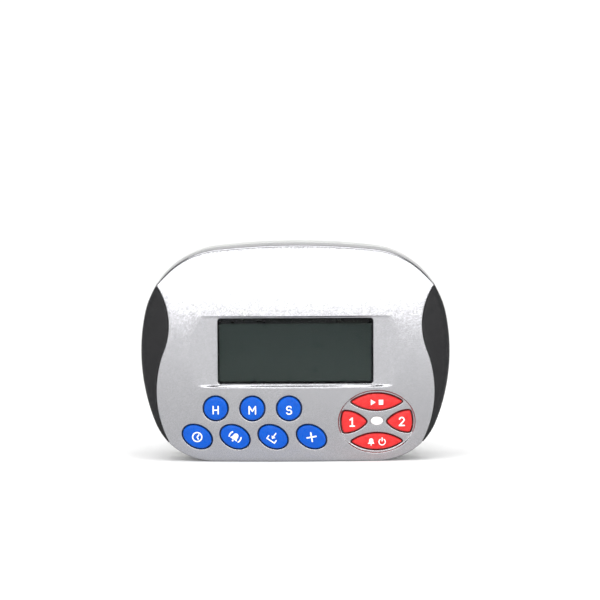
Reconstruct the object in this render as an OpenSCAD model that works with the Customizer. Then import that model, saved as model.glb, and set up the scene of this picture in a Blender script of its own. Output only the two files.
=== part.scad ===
// Bench timer with a display, eleven keys, a fold-out stand and one AAA cell.
// It stands on its flat base. X runs across the face, Y from the face to the back, Z up.
// The origin is the centre of the base.

/* [Body] */
// Overall width of the body
body_w = 102; // [98:1:106]
// Height of the body
body_h = 72; // [70:1:74]
// Depth from the crown of the face to the flat back
body_d = 24; // [24:0.5:27]
// Radius of the bottom corners
base_corner_r = 21; // [19:0.5:22]
// Radius of the bulging sides
side_r = 63; // [60:1:70]
// Height of the widest point of the sides
side_z = 36.5; // [35:0.5:38]
// Radius of the top corners
top_corner_r = 27; // [25:0.5:28]
// Radius of the gently arched top edge
top_r = 238; // [220:1:260]
// Thickness of the moulded walls
wall = 2; // [1.6:0.1:2.2]
// Depth behind the face crown at which the two covers meet
parting_depth = 14; // [13:0.5:15]

/* [Face] */
// Radius of the face crown, side to side
crown_across_r = 433; // [400:1:500]
// Radius of the face crown, top to bottom
crown_up_r = 216; // [200:1:260]
// Radius of the dome that the back is cut from
back_r = 160; // [150:1:180]
// Radius of the flat circle on the back
back_flat_r = 38; // [36:1:39]

/* [Grips] */
// Thickness of the rubber side grips
grip_t = 2; // [1.5:0.1:2.2]
// Radius of the inward bulge at the top of a grip
grip_bulge_r = 23.7; // [22:0.1:25]
// Radius of the hollow at the bottom of a grip
grip_hollow_r = 37.7; // [36:0.1:39]

/* [Display] */
// Width of the display opening
window_w = 51.3; // [49:0.1:53]
// Height of the display opening
window_h = 21.8; // [21:0.1:22.4]
// Height of the middle of the display above the base
window_z = 37.1; // [36.8:0.1:37.6]
// Width of the flat recess that the display sits in
recess_w = 61.4; // [58:0.1:63]
// Height of the flat recess
recess_h = 23.2; // [22.8:0.1:24]

/* [Keys] */
// Radius of the round keys
round_key_r = 3.9; // [3.6:0.1:4.2]
// Half length of the oval keys
oval_key_a = 5; // [4.7:0.1:5.2]
// Half width of the oval keys
oval_key_b = 3.6; // [3.4:0.1:3.8]
// Gap between a key and its hole
key_gap = 0.3; // [0.2:0.05:0.35]
// How far the keys stand out of the face
key_proud = 0.8; // [0.5:0.1:1]
// How far a key travels when pressed
key_travel = 0.8; // [0.6:0.1:0.9]

/* [Stand and battery] */
// Width of the fold-out stand
stand_w = 32; // [28:1:33]
// Length of the fold-out stand below its pin
stand_len = 29; // [26:1:29]
// Radius of the stand's hinge pin
pin_r = 0.8; // [0.7:0.05:1]
// Diameter of the AAA cell
cell_d = 10.5; // [10.1:0.1:10.5]
// Length of the AAA cell with its nub
cell_len = 44.5; // [44:0.1:44.5]

/* [Hidden] */
$fn = 64;
big = 200;

// Depth planes, from the face to the back
front_y = -body_d / 2;
back_y = body_d / 2;
parting_y = front_y + parting_depth;
mid_z = body_h / 2;
// Sector and depth of the barrel that the face's crown is part of
crown_sector = 18;
crown_deep = 40;

// The outline is a chain of tangent arcs, so an inset keeps every centre
side_x = body_w / 2 - side_r;
top_z = body_h - top_r;
base_corner_x = side_x
    + sqrt(pow(side_r - base_corner_r, 2) - pow(side_z - base_corner_r, 2));
// The top corner's centre is where two circles about the side and top centres cross
top_far = top_r - top_corner_r;
side_far = side_r - top_corner_r;
centre_gap = norm([side_x, side_z - top_z]);
gap_along = (pow(top_far, 2) - pow(side_far, 2) + pow(centre_gap, 2)) / (2 * centre_gap);
gap_across = sqrt(pow(top_far, 2) - pow(gap_along, 2));
gap_dir = [side_x, side_z - top_z] / centre_gap;
top_corner = [0, top_z] + gap_along * gap_dir + gap_across * [gap_dir[1], -gap_dir[0]];

// Grip edge: an inward bulge that runs on into a hollow, at one tangent point
grip_bulge = [65.5, 45.6];
grip_hollow = [8.3, 23.4];
// Where the two arcs are cut off, past the body's outline
grip_bulge_end = 110;
grip_hollow_end = -50;
grip_turn = atan2(grip_bulge[1] - grip_hollow[1], grip_bulge[0] - grip_hollow[0]);

// Depth of the flat recess floor, which meets the crown at the recess's ends
recess_y = face_y(recess_w / 2, window_z + recess_h / 2);
recess_skin = 1.2;

// Keys: [x, z] of every key
round_keys = [[-26.4, 18.1], [-14.3, 18.1], [-2.2, 18.1]];
oval_keys = [[-32.6, 8.5], [-20.1, 8.5], [-7.5, 8.5], [5.2, 8.5]];
oval_tilt = -27;
cluster = [26.8, 13.4];
lens_key_rise = 6.7;
lens_key_w = 16.9;
lens_key_h = 5.4;
lens_key_r = (pow(lens_key_w, 2) + pow(lens_key_h, 2)) / (4 * lens_key_h);
side_key_in = 3.3;
side_key_out = 11.7;
side_key_half = 3.6;
side_key_arch_x = side_key_out - 1;
side_key_arch_r = (pow(side_key_arch_x - side_key_in, 2) + pow(side_key_half, 2))
    / (2 * side_key_half);
side_key_blunt_r = 9.6;
side_key_mid = (side_key_in + side_key_out) / 2;
dish_a = 13;
dish_b = 10.8;
dish_depth = 0.5;
lamp_a = 2.1;
lamp_b = 1.4;
lamp_rise = 0.3;
lamp_proud = 0.3;

// Layers behind the face
board_front_y = -3.8;
board_t = 1.6;
board_back_y = board_front_y + board_t;
board_inset = 5;
board_top_z = 60;
mat_t = 1;
// Height that is left of a dome when its key is fully pressed
dome_spare = 0.4;
mat_y = board_front_y - mat_t;
dome_h = key_travel + dome_spare;
dome_y = mat_y - dome_h;
lens_t = 1;
lens_w = recess_w - 3;
lens_h = recess_h + 2;
lens_y = recess_y + recess_skin;
lcd_w = 58;
lcd_bottom = 25;
lcd_top = 51.2;
lcd_ledge = 2.6;
lcd_y = -8.2;
glass_t = 0.7;
film_t = 0.2;
film_y = lcd_y + 2 * glass_t;
holder_wall = 0.8;
slip = 0.1;
film_inset = 1;

// Fasteners: [x, z] of the screws that close the case and of those that hold the board
case_screw_at = [[34, 56], [-34, 56], [40, 25.5], [-40, 25.5]];
case_boss_r = 3;
boss_slip = 0.4;
screw_r = 1.1;
screw_head_r = 2;
screw_head_t = 1.4;
slot_len = 2.2;
slot_w = 0.5;
thread_slip = 0.02;
shank_slip = 0.2;
head_slip = 0.3;
case_screw_len = 8;
board_screw_len = 4.5;
tip_room = 0.6;
case_head_y = 6;
board_screw_at = [[35.5, 40], [-35.5, 40], [0, 57]];
board_boss_r = 2.4;

// Back: battery bay, door, stand, magnets and buzzer
bay_z = 15;
bay_half_x = 24.9;
cell_gap = 0.5;
bay_half_z = cell_d / 2 + cell_gap;
bay_floor_y = -1;
bay_wall = 1;
block_wall = 1.2;
cell_y = bay_floor_y + cell_d / 2 + cell_gap;
door_t = 1.6;
door_half_x = 26.2;
door_half_z = 7.2;
door_gap = 0.35;
scoop_r = 3.4;
scoop_depth = 0.9;
door_y = back_y - door_t;
nose_r = door_t / 2 - 0.01;
door_pivot = [back_y - door_t / 2, bay_z - door_half_z + door_t / 2];
stand_pin_z = 56;
stand_t = 3;
knuckle_r = 1.8;
stand_pin_y = back_y - knuckle_r;
stand_gap = 0.3;
stand_floor_y = stand_pin_y - knuckle_r - stand_gap;
pin_slip = 0.05;
notch_r = 6;
magnet_at = [[27, 50], [-27, 50]];
magnet_r = 5;
magnet_t = 2.5;
buzzer_at = [27.5, 33.5];
buzzer_r = 9;
buzzer_t = 0.25;
piezo_r = 6.5;
chamber_h = 1.2;
buzzer_y = back_y - wall - chamber_h;
sound_ring_r = 3;
sound_hole_r = 0.75;
lead_r = 0.4;
lead_reach = 9;
lead_drop = 2;
tail_t = 0.4;
tail_w = 2;
plate_h = 8;
plate_deep = 9;
plate_lift = 0.3;
spring_turns = 4;
spring_wide_r = 3.8;
spring_narrow_r = 2.4;
nub_r = 1.9;
nub_len = 1.2;
spring_r = 0.35;
pin_seat = 1.2;
pin_end_wall = 0.7;
stand_pin_len = stand_w + 2 * stand_gap + 2 * pin_seat;
blob_r = 5;
led_r = 1.5;
led_h = 1.6;
dome_r = 2.2;
dome_wall = 0.5;
dome_top = 0.6;
side_dome_shift = 0.8;
mat_top_z = 23.6;
zebra_w = 52;
zebra_t = 2;
zebra_gap = 0.3;
zebra_z = lcd_top - lcd_ledge + zebra_gap;
crystal_r = 1;
crystal_len = 6;
crystal_at = [-22, 50];
capacitor_size = [1.2, 1, 2];
capacitor_pitch = 4;
capacitor_at = [10, 47];

// Y of the crowned face at a point of the outline plane
function face_y(x, z) = front_y + crown_across_r
    - sqrt(pow(crown_across_r - crown_up_r + sqrt(pow(crown_up_r, 2) - pow(z - mid_z, 2)), 2)
        - pow(x, 2));
// Direction from one point to another, in degrees
function bearing(a, b) = atan2(b[1] - a[1], b[0] - a[0]);
// Points along an arc, both ends included
function arc(c, r, a0, a1, steps) =
    [for (i = [0:steps]) c + r * [cos(a0 + (a1 - a0) * i / steps), sin(a0 + (a1 - a0) * i / steps)]];
// The same points on the other side of the body, in reverse order
function mirrored(p) = [for (i = [len(p) - 1:-1:0]) [-p[i][0], p[i][1]]];
function right_edge(inset) =
    let (
        side = [side_x, side_z],
        low = bearing(side, [base_corner_x, base_corner_r]),
        high = bearing(side, top_corner),
        crest = bearing([0, top_z], top_corner)
    )
    concat(
        arc([base_corner_x, base_corner_r], base_corner_r - inset, -90, low, 12),
        arc(side, side_r - inset, low, high, 9),
        arc(top_corner, top_corner_r - inset, high, crest, 14),
        arc([0, top_z], top_r - inset, crest, 90, 4)
    );
function ellipse(a, b, steps) =
    [for (i = [0:steps - 1]) [a * cos(360 * i / steps), b * sin(360 * i / steps)]];

// Body outline, inset all round
module outline(inset) {
    edge = right_edge(inset);
    polygon(concat(edge, mirrored(edge)));
}

// Everything outside the right grip's edge curve; grow widens it towards the middle
module grip_side(grow) {
    polygon(concat(
        arc(grip_bulge, grip_bulge_r + grow, grip_bulge_end, 180 + grip_turn, 16),
        arc(grip_hollow, grip_hollow_r - grow, grip_turn, grip_hollow_end, 14),
        [[grip_bulge[0], -big / 2], [grip_bulge[0], big / 2]]
    ));
}

module both_sides() {
    children();
    mirror([1, 0, 0]) children();
}

// Extrudes a shape drawn in X and Z from y0 back to y1
module slab(y0, y1) {
    translate([0, y1, 0]) rotate([90, 0, 0]) linear_extrude(y1 - y0) children();
}

// Round bar along Y
module rod(p, r, y0, y1) {
    translate([p[0], y1, p[1]]) rotate([90, 0, 0]) cylinder(r = r, h = y1 - y0);
}

// Solid behind the crowned face, set back by inset: a short sector of a barrel
module behind_face(inset) {
    translate([0, front_y + crown_across_r, mid_z])
        rotate([0, 0, -90 - crown_sector / 2])
            rotate_extrude(angle = crown_sector, $fn = 360)
                intersection() {
                    translate([crown_across_r - crown_up_r, 0]) circle(crown_up_r - inset, $fn = 360);
                    translate([crown_across_r - crown_deep, -big / 2]) square([2 * crown_deep, big]);
                }
}

// Solid in front of the domed back and its flat, set forward by inset
module before_back(inset) {
    apex = back_y + back_flat_r * back_flat_r / (2 * back_r);
    intersection() {
        translate([0, apex - back_r, mid_z]) sphere(back_r - inset, $fn = 180);
        translate([-big / 2, back_y - inset - big, -big / 2]) cube([big, big, 2 * big]);
    }
}

// The whole body's form, set in by inset on every side
module form(inset) {
    intersection() {
        slab(front_y - 1, back_y + 1) outline(inset);
        behind_face(inset);
        before_back(inset);
    }
}

// Rubber skin that wraps the right side
module grip_skin() {
    difference() {
        intersection() {
            form(0);
            slab(front_y - 1, back_y + 1) grip_side(0);
        }
        form(grip_t);
    }
}

// Room for both grips, cut from the covers
module grip_room() {
    difference() {
        both_sides() slab(front_y - 2, back_y + 2) grip_side(0);
        form(grip_t);
    }
}

// Space inside the covers
module cavity() {
    difference() {
        form(wall);
        both_sides() slab(front_y - 2, back_y + 2) grip_side(wall);
    }
    form(grip_t + wall);
}

// Key outlines, each drawn about its own centre and grown by g
module round_shape(g) {
    circle(round_key_r + g);
}
module oval_shape(g) {
    rotate(oval_tilt) polygon(ellipse(oval_key_a + g, oval_key_b + g, 40));
}
module lens_shape(g) {
    rise = lens_key_r - lens_key_h / 2;
    intersection() {
        translate([0, rise]) circle(lens_key_r + g, $fn = 128);
        translate([0, -rise]) circle(lens_key_r + g, $fn = 128);
    }
}
// Pointed arch lying on its side, with its blunt end outwards, to the right
module side_shape(g) {
    drop = side_key_arch_r - side_key_half;
    intersection() {
        translate([side_key_arch_x, drop]) circle(side_key_arch_r + g, $fn = 128);
        translate([side_key_arch_x, -drop]) circle(side_key_arch_r + g, $fn = 128);
        translate([side_key_out - side_key_blunt_r, 0]) circle(side_key_blunt_r + g, $fn = 128);
    }
}

// One key: a hard cap that passes through the face and is bonded to its rubber dome
module key(p) {
    translate([p[0], 0, p[1]]) slab(face_y(p[0], p[1]) - key_proud, dome_y) children();
}
module round_key(i) {
    color("royalblue") key(round_keys[i]) round_shape(0);
}
module oval_key(i) {
    color("royalblue") key(oval_keys[i]) oval_shape(0);
}
// Lens-shaped red key; side is 1 for the upper one and -1 for the lower
module lens_key(side) {
    color("crimson") key(cluster + [0, side * lens_key_rise]) lens_shape(0);
}
// Arch-shaped red key; side is -1 for the left one and 1 for the right
module side_key(side) {
    color("crimson") key(cluster + [side * side_key_mid, 0])
        rotate(side < 0 ? 180 : 0) translate([-side_key_mid, 0]) side_shape(0);
}

// Holes in the face for the keys and the lamp
module key_holes() {
    for (p = round_keys) translate(p) round_shape(key_gap);
    for (p = oval_keys) translate(p) oval_shape(key_gap);
    translate(cluster) {
        for (s = [-1, 1]) translate([0, s * lens_key_rise]) lens_shape(key_gap);
        side_shape(key_gap);
        mirror([1, 0]) side_shape(key_gap);
    }
}
module lamp_shape() {
    translate([0, lamp_rise]) polygon(ellipse(lamp_a, lamp_b, 32));
}

// Rectangle about the middle of the display
module window_rect(w, h) {
    translate([-w / 2, window_z - h / 2]) square([w, h]);
}

module front_cover() {
    color("silver") difference() {
        intersection() {
            form(0);
            translate([-big / 2, front_y - 1, -1]) cube([big, parting_depth + 1, big]);
        }
        difference() {
            cavity();
            for (p = case_screw_at) rod(p, case_boss_r, front_y, parting_y + 1);
            for (p = board_screw_at) rod(p, board_boss_r, front_y, board_front_y);
            // Frame behind the display opening
            slab(front_y, lens_y) window_rect(recess_w + 2, recess_h + 2);
        }
        grip_room();
        // Flat recess and the opening in it
        slab(front_y - 1, recess_y) window_rect(recess_w, recess_h);
        slab(front_y - 1, lens_y + 1) window_rect(window_w, window_h);
        // Seat of the display lens
        slab(lens_y, lens_y + lens_t + 2) window_rect(lens_w + 2 * slip, lens_h + 2 * slip);
        // Shallow dish round the red keys
        difference() {
            slab(front_y - 1, 0) translate(cluster) polygon(ellipse(dish_a, dish_b, 60));
            behind_face(dish_depth);
        }
        slab(front_y - 1, board_front_y) key_holes();
        slab(front_y - 1, board_front_y) translate(cluster) lamp_shape();
        for (p = case_screw_at)
            rod(p, screw_r + thread_slip, case_head_y - case_screw_len - tip_room, parting_y + 1);
        for (p = board_screw_at)
            rod(p, screw_r + thread_slip, board_back_y - board_screw_len - tip_room, board_front_y + 1);
    }
}

// Blocks inside the rear cover that carry the bay, the stand, the magnets and the buzzer
module bay_block(y1) {
    half_x = door_half_x + door_gap + bay_wall;
    half_z = door_half_z + door_gap + bay_wall;
    translate([-half_x, bay_floor_y - bay_wall, bay_z - half_z])
        cube([2 * half_x, y1 - bay_floor_y + bay_wall, 2 * half_z]);
}
module stand_block() {
    half_x = stand_pin_len / 2 + pin_end_wall;
    top = stand_pin_z + knuckle_r + stand_gap + block_wall;
    bottom = stand_pin_z - stand_len - stand_gap - block_wall;
    translate([-half_x, stand_floor_y - block_wall, bottom])
        cube([2 * half_x, back_y - 1 - stand_floor_y, top - bottom]);
}
module rear_cover() {
    color("gainsboro") difference() {
        union() {
            difference() {
                intersection() {
                    form(0);
                    translate([-big / 2, parting_y, -1]) cube([big, body_d, big]);
                }
                difference() {
                    cavity();
                    for (p = case_screw_at) rod(p, case_boss_r, parting_y - 1, back_y);
                    for (p = magnet_at) rod(p, magnet_r + 1, back_y - magnet_t - 1, back_y);
                    rod(buzzer_at, buzzer_r + 1, buzzer_y, back_y);
                    stand_block();
                }
                grip_room();
            }
            bay_block(back_y - wall);
        }
        // Battery bay and the seat of its door
        translate([-bay_half_x, bay_floor_y, bay_z - bay_half_z])
            cube([2 * bay_half_x, body_d, 2 * bay_half_z]);
        translate([-door_half_x - door_gap, door_y, bay_z - door_half_z - door_gap])
            cube([2 * (door_half_x + door_gap), body_d, 2 * (door_half_z + door_gap)]);
        // Finger scoop above the door
        rod([0, bay_z + door_half_z], scoop_r, back_y - scoop_depth, back_y + 1);
        // Slots for the contacts' tails
        for (s = [-1, 1])
            translate([s * (bay_half_x - tail_t / 2), bay_floor_y - bay_wall / 2, bay_z])
                cube([tail_t + slip, 2 * bay_wall, tail_w + 2 * slip], center = true);
        // Stand recess and its pin hole
        translate([-stand_w / 2 - stand_gap, stand_floor_y, stand_pin_z - stand_len - stand_gap])
            cube([stand_w + 2 * stand_gap, body_d, stand_len + knuckle_r + 2 * stand_gap]);
        translate([-stand_pin_len / 2, stand_pin_y, stand_pin_z]) rotate([0, 90, 0])
            cylinder(r = pin_r, h = stand_pin_len);
        for (p = magnet_at) rod(p, magnet_r, back_y - magnet_t, back_y + 1);
        // Sound chamber and its holes
        rod(buzzer_at, buzzer_r - 1, buzzer_y - 1, back_y - wall);
        for (a = [0:60:300]) rod(buzzer_at + sound_ring_r * [cos(a), sin(a)], sound_hole_r, 0, back_y + 1);
        rod(buzzer_at, sound_hole_r, 0, back_y + 1);
        for (p = case_screw_at) {
            rod(p, screw_r + shank_slip, parting_y - 1, back_y);
            rod(p, screw_head_r + head_slip, case_head_y, back_y + 1);
        }
    }
}
module left_grip() {
    color("dimgray") mirror([1, 0, 0]) grip_skin();
}
module right_grip() {
    color("dimgray") grip_skin();
}

module display_lens() {
    color("lightcyan", 0.4) slab(lens_y, lens_y + lens_t)
        translate([-lens_w / 2, window_z - lens_h / 2]) square([lens_w, lens_h]);
}
module lcd_front_glass() {
    color("darkslategray") slab(lcd_y, lcd_y + glass_t)
        translate([-lcd_w / 2, lcd_bottom]) square([lcd_w, lcd_top - lcd_bottom]);
}
module lcd_rear_glass() {
    color("darkslategray") slab(lcd_y + glass_t, lcd_y + 2 * glass_t)
        translate([-lcd_w / 2, lcd_bottom]) square([lcd_w, lcd_top - lcd_ledge - lcd_bottom]);
}
module lcd_reflector() {
    color("gray") slab(film_y, film_y + film_t)
        translate([-lcd_w / 2 + film_inset, lcd_bottom + film_inset])
            square([lcd_w - 2 * film_inset, lcd_top - lcd_ledge - lcd_bottom - 2 * film_inset]);
}
module lcd_holder() {
    rim = slip + holder_wall;
    well = film_inset - slip;
    color("white") difference() {
        slab(lcd_y, board_front_y) translate([-lcd_w / 2 - rim, lcd_bottom - rim])
            square([lcd_w + 2 * rim, lcd_top - lcd_bottom + 2 * rim]);
        // Seat for the two glasses
        slab(lcd_y - 1, film_y) translate([-lcd_w / 2 - slip, lcd_bottom - slip])
            square([lcd_w + 2 * slip, lcd_top - lcd_bottom + 2 * slip]);
        // Open well behind the film
        slab(film_y - 1, board_front_y + 1) translate([-lcd_w / 2 + well, lcd_bottom + well])
            square([lcd_w - 2 * well, lcd_top - lcd_ledge - lcd_bottom - 2 * well]);
        // Slot for the rubber connector
        slab(film_y - 1, board_front_y + 1) translate([-zebra_w / 2 - slip, zebra_z - slip])
            square([zebra_w + 2 * slip, zebra_t + 2 * slip]);
    }
}
module zebra_strip() {
    color("pink") slab(lcd_y + glass_t, board_front_y)
        translate([-zebra_w / 2, zebra_z]) square([zebra_w, zebra_t]);
}
module main_board() {
    color("darkgreen") difference() {
        slab(board_front_y, board_back_y) intersection() {
            outline(board_inset);
            translate([-big / 2, 0]) square([big, board_top_z]);
        }
        for (p = case_screw_at) rod(p, case_boss_r + boss_slip, board_front_y - 1, board_back_y + 1);
        for (p = board_screw_at) rod(p, screw_r + shank_slip, board_front_y - 1, board_back_y + 1);
    }
}
module controller_blob() {
    color("black") translate([0, board_back_y, mid_z]) rotate([-90, 0, 0])
        rotate_extrude() intersection() {
            translate([0, -blob_r]) circle(sqrt(2) * blob_r);
            square([blob_r, blob_r]);
        }
}
module clock_crystal() {
    color("lightgray") translate([crystal_at[0], board_back_y + crystal_r + slip, crystal_at[1]])
        rotate([0, 90, 0]) cylinder(r = crystal_r, h = crystal_len);
}
module board_capacitors() {
    color("tan") for (i = [0:2])
        translate([capacitor_at[0] + capacitor_pitch * i, board_back_y, capacitor_at[1]])
            cube(capacitor_size);
}
module alarm_led() {
    color("white") translate([cluster[0], board_front_y - led_h, cluster[1]]) {
        sphere(led_r);
        rotate([-90, 0, 0]) cylinder(r = led_r, h = led_h);
    }
}
module lamp_lens() {
    y0 = face_y(cluster[0], cluster[1]);
    color("white") translate([cluster[0], 0, cluster[1]])
        slab(y0 - lamp_proud, y0 + dish_depth + wall) lamp_shape();
}

// Middles of the domes that the keys press; under the side keys they sit towards the wide end
function dome_at() = concat(
    round_keys,
    oval_keys,
    [for (s = [-1, 1]) cluster + [0, s * lens_key_rise]],
    [for (s = [-1, 1]) cluster + [s * (side_key_mid + side_dome_shift), 0]]
);
module keypad_mat() {
    color("lightgray") difference() {
        union() {
            slab(mat_y, board_front_y) difference() {
                intersection() {
                    outline(board_inset + 1);
                    translate([-big / 2, 0]) square([big, mat_top_z]);
                }
                for (p = case_screw_at) translate(p) circle(case_boss_r + boss_slip);
                translate(cluster) circle(led_r + boss_slip);
            }
            for (p = dome_at()) rod(p, dome_r, dome_y, mat_y);
        }
        // Hollow under each dome
        for (p = dome_at()) rod(p, dome_r - dome_wall, dome_y + dome_top, board_front_y + 1);
    }
}

module battery_cell() {
    shell_len = cell_len - nub_len;
    color("orange") translate([bay_half_x - tail_t - cell_len, cell_y, bay_z]) rotate([0, 90, 0]) {
        cylinder(r = cell_d / 2, h = shell_len);
        cylinder(r = nub_r, h = cell_len);
    }
}
// Contact plate with a tail that passes through the bay's floor to the board
module contact_plate() {
    translate([bay_half_x - tail_t, bay_floor_y + plate_lift, bay_z - plate_h / 2])
        cube([tail_t, plate_deep, plate_h]);
    translate([bay_half_x - tail_t, board_back_y, bay_z - tail_w / 2])
        cube([tail_t, bay_floor_y + 1 - board_back_y, tail_w]);
}
module battery_contact() {
    color("silver") contact_plate();
}

// Round wire swept along a path of points; ref is never parallel to the path
module wire(path, r, ref) {
    n = len(path);
    sides = 8;
    rings = [for (i = [0:n - 1])
        let (
            run = path[min(i + 1, n - 1)] - path[max(i - 1, 0)],
            t = run / norm(run),
            u = cross(t, ref) / norm(cross(t, ref)),
            v = cross(t, u)
        )
        for (k = [0:sides - 1]) path[i] + r * (cos(360 * k / sides) * u + sin(360 * k / sides) * v)];
    walls = [for (i = [0:n - 2]) for (k = [0:sides - 1])
        let (a = i * sides, b = (k + 1) % sides)
        [a + k, a + sides + k, a + sides + b, a + b]];
    ends = [[for (k = [0:sides - 1]) k], [for (k = [sides - 1:-1:0]) (n - 1) * sides + k]];
    polyhedron(points = rings, faces = concat(walls, ends), convexity = 6);
}
module battery_spring() {
    steps = 16 * spring_turns;
    x0 = -bay_half_x + tail_t - spring_r / 2;
    x1 = bay_half_x - tail_t - cell_len;
    coil = [for (i = [0:steps])
        let (
            f = i / steps,
            a = 360 * spring_turns * f,
            r = spring_wide_r + (spring_narrow_r - spring_wide_r) * f
        )
        [x0 + spring_r + (x1 - x0 - 2 * spring_r) * f, cell_y + r * cos(a), bay_z + r * sin(a)]];
    color("silver") {
        mirror([1, 0, 0]) contact_plate();
        wire(coil, spring_r, [1, 0, 0]);
    }
}
module battery_door() {
    color("gainsboro") translate([-door_half_x, 0, 0]) {
        translate([0, door_y, door_pivot[1]])
            cube([2 * door_half_x, door_t, bay_z + door_half_z - door_pivot[1]]);
        // Rounded lower edge that the door turns on
        translate([0, door_pivot[0], door_pivot[1]]) rotate([0, 90, 0])
            cylinder(r = nose_r, h = 2 * door_half_x);
    }
}
module buzzer_disc() {
    color("gold") {
        rod(buzzer_at, buzzer_r, buzzer_y - buzzer_t, buzzer_y);
        rod(buzzer_at, piezo_r, buzzer_y - 2 * buzzer_t, buzzer_y - buzzer_t);
    }
}
module buzzer_leads() {
    color("red") for (s = [0, 1]) {
        // One lead starts on the ceramic, the other on the brass rim
        z = buzzer_at[1] - 1 - 3 * s;
        y0 = buzzer_y - (2 - s) * buzzer_t - lead_r;
        start = [buzzer_at[0] + (s ? piezo_r : 3), y0, z];
        finish = [buzzer_at[0] + lead_reach, board_back_y, z - lead_drop];
        // Leaves the disc flat, then turns in a quarter circle down to the board
        bend = finish[0] - start[0];
        wire(concat(
            [for (a = [0:15:90]) start + [bend * sin(a), -bend * (1 - cos(a)), -lead_drop * a / 90]],
            [finish]
        ), lead_r, [0, 0, 1]);
    }
}
module magnets() {
    color("dimgray") for (p = magnet_at) rod(p, magnet_r, back_y - magnet_t, back_y);
}
module stand() {
    color("gainsboro") difference() {
        union() {
            translate([-stand_w / 2, back_y - stand_t, stand_pin_z - stand_len])
                cube([stand_w, stand_t, stand_len]);
            translate([-stand_w / 2, stand_pin_y, stand_pin_z]) rotate([0, 90, 0])
                cylinder(r = knuckle_r, h = stand_w);
        }
        translate([-stand_w, stand_pin_y, stand_pin_z]) rotate([0, 90, 0])
            cylinder(r = pin_r + pin_slip, h = 2 * stand_w);
        rod([0, stand_pin_z - stand_len], notch_r, 0, back_y + 1);
    }
}
module stand_pin() {
    color("silver") translate([-stand_pin_len / 2, stand_pin_y, stand_pin_z]) rotate([0, 90, 0])
        cylinder(r = pin_r, h = stand_pin_len);
}
// Pan-head screw with its head's underside at y and its tip towards the face
module screw(p, y, len) {
    difference() {
        union() {
            rod(p, screw_r, y - len, y);
            rod(p, screw_head_r, y, y + screw_head_t);
        }
        for (a = [0, 90]) translate([p[0], y + screw_head_t, p[1]]) rotate([0, a, 0])
            cube([slot_len, screw_head_t, slot_w], center = true);
    }
}
module case_screws() {
    color("silver") for (p = case_screw_at) screw(p, case_head_y, case_screw_len);
}
module board_screws() {
    color("silver") for (p = board_screw_at) screw(p, board_back_y, board_screw_len);
}

module hour_key() {
    round_key(0);
}
module minute_key() {
    round_key(1);
}
module second_key() {
    round_key(2);
}
module clock_key() {
    oval_key(0);
}
module alarm_key() {
    oval_key(1);
}
module memory_key() {
    oval_key(2);
}
module clear_key() {
    oval_key(3);
}
module start_stop_key() {
    lens_key(1);
}
module alarm_switch_key() {
    lens_key(-1);
}
module timer_1_key() {
    side_key(-1);
}
module timer_2_key() {
    side_key(1);
}

front_cover();
rear_cover();
left_grip();
right_grip();
display_lens();
lcd_front_glass();
lcd_rear_glass();
lcd_reflector();
lcd_holder();
zebra_strip();
main_board();
controller_blob();
clock_crystal();
board_capacitors();
alarm_led();
lamp_lens();
keypad_mat();
hour_key();
minute_key();
second_key();
clock_key();
alarm_key();
memory_key();
clear_key();
start_stop_key();
timer_1_key();
timer_2_key();
alarm_switch_key();
battery_cell();
battery_spring();
battery_contact();
battery_door();
buzzer_disc();
buzzer_leads();
magnets();
stand();
stand_pin();
case_screws();
board_screws();
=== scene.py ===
"""Looks of the lab timer: covers, grips, keys, display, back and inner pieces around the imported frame.

Shapes are worked out in millimetres in the frame's own axes (X across the face, Y to the back, Z up)
and turned into metres when a mesh is made.
"""

import math

import bmesh
import bpy
import numpy as np
from mathutils import Matrix, Vector
from mathutils.geometry import delaunay_2d_cdt


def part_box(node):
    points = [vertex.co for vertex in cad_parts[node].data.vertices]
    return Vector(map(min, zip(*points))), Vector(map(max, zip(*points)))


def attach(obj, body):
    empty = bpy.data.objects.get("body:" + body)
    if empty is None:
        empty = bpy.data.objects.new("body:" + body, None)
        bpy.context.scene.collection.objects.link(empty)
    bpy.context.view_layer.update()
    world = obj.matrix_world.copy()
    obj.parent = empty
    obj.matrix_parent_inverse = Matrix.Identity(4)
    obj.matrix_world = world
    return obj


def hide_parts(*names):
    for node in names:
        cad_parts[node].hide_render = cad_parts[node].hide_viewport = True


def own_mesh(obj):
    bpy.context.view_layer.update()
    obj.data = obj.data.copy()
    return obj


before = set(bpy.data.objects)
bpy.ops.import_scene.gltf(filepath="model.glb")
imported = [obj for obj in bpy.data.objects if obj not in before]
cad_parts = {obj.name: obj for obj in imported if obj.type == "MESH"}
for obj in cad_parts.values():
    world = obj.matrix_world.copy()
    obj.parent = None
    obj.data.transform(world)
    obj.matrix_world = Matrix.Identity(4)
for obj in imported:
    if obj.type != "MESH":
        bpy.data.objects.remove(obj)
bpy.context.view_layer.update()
MM = 0.001


# ---------------------------------------------------------------- sizes, in millimetres

def mm_box(node):
    """A CAD node's lowest and highest corner, in millimetres."""
    low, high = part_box(node)
    return low / MM, high / MM


BODY_W = 2 * mm_box("right_grip")[1].x
BODY_H = mm_box("front_cover")[1].z
BACK = mm_box("rear_cover")[1].y
FRONT = -BACK
PARTING = mm_box("front_cover")[1].y
MID_Z = BODY_H / 2
WALL = 2.0

# Outline arcs
BASE_R = 21.0
SIDE_R = 63.0
SIDE_Z = 36.5
TOP_CORNER_R = 27.0
TOP_R = 238.0
# Crowns of the face and of the back
CROWN_ACROSS = 433.0
CROWN_UP = 216.0
BACK_R = 160.0
BACK_FLAT = 38.0
# Grip edge
BULGE = Vector((65.5, 45.6))
BULGE_R = 23.7
HOLLOW = Vector((8.3, 23.4))
HOLLOW_R = 37.7
GRIP_T = 2.0
# Display
WINDOW_W = 51.3
WINDOW_H = 21.8
WINDOW_Z = 37.1
RECESS_HALF = 30.7
RECESS_H = 23.2
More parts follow.
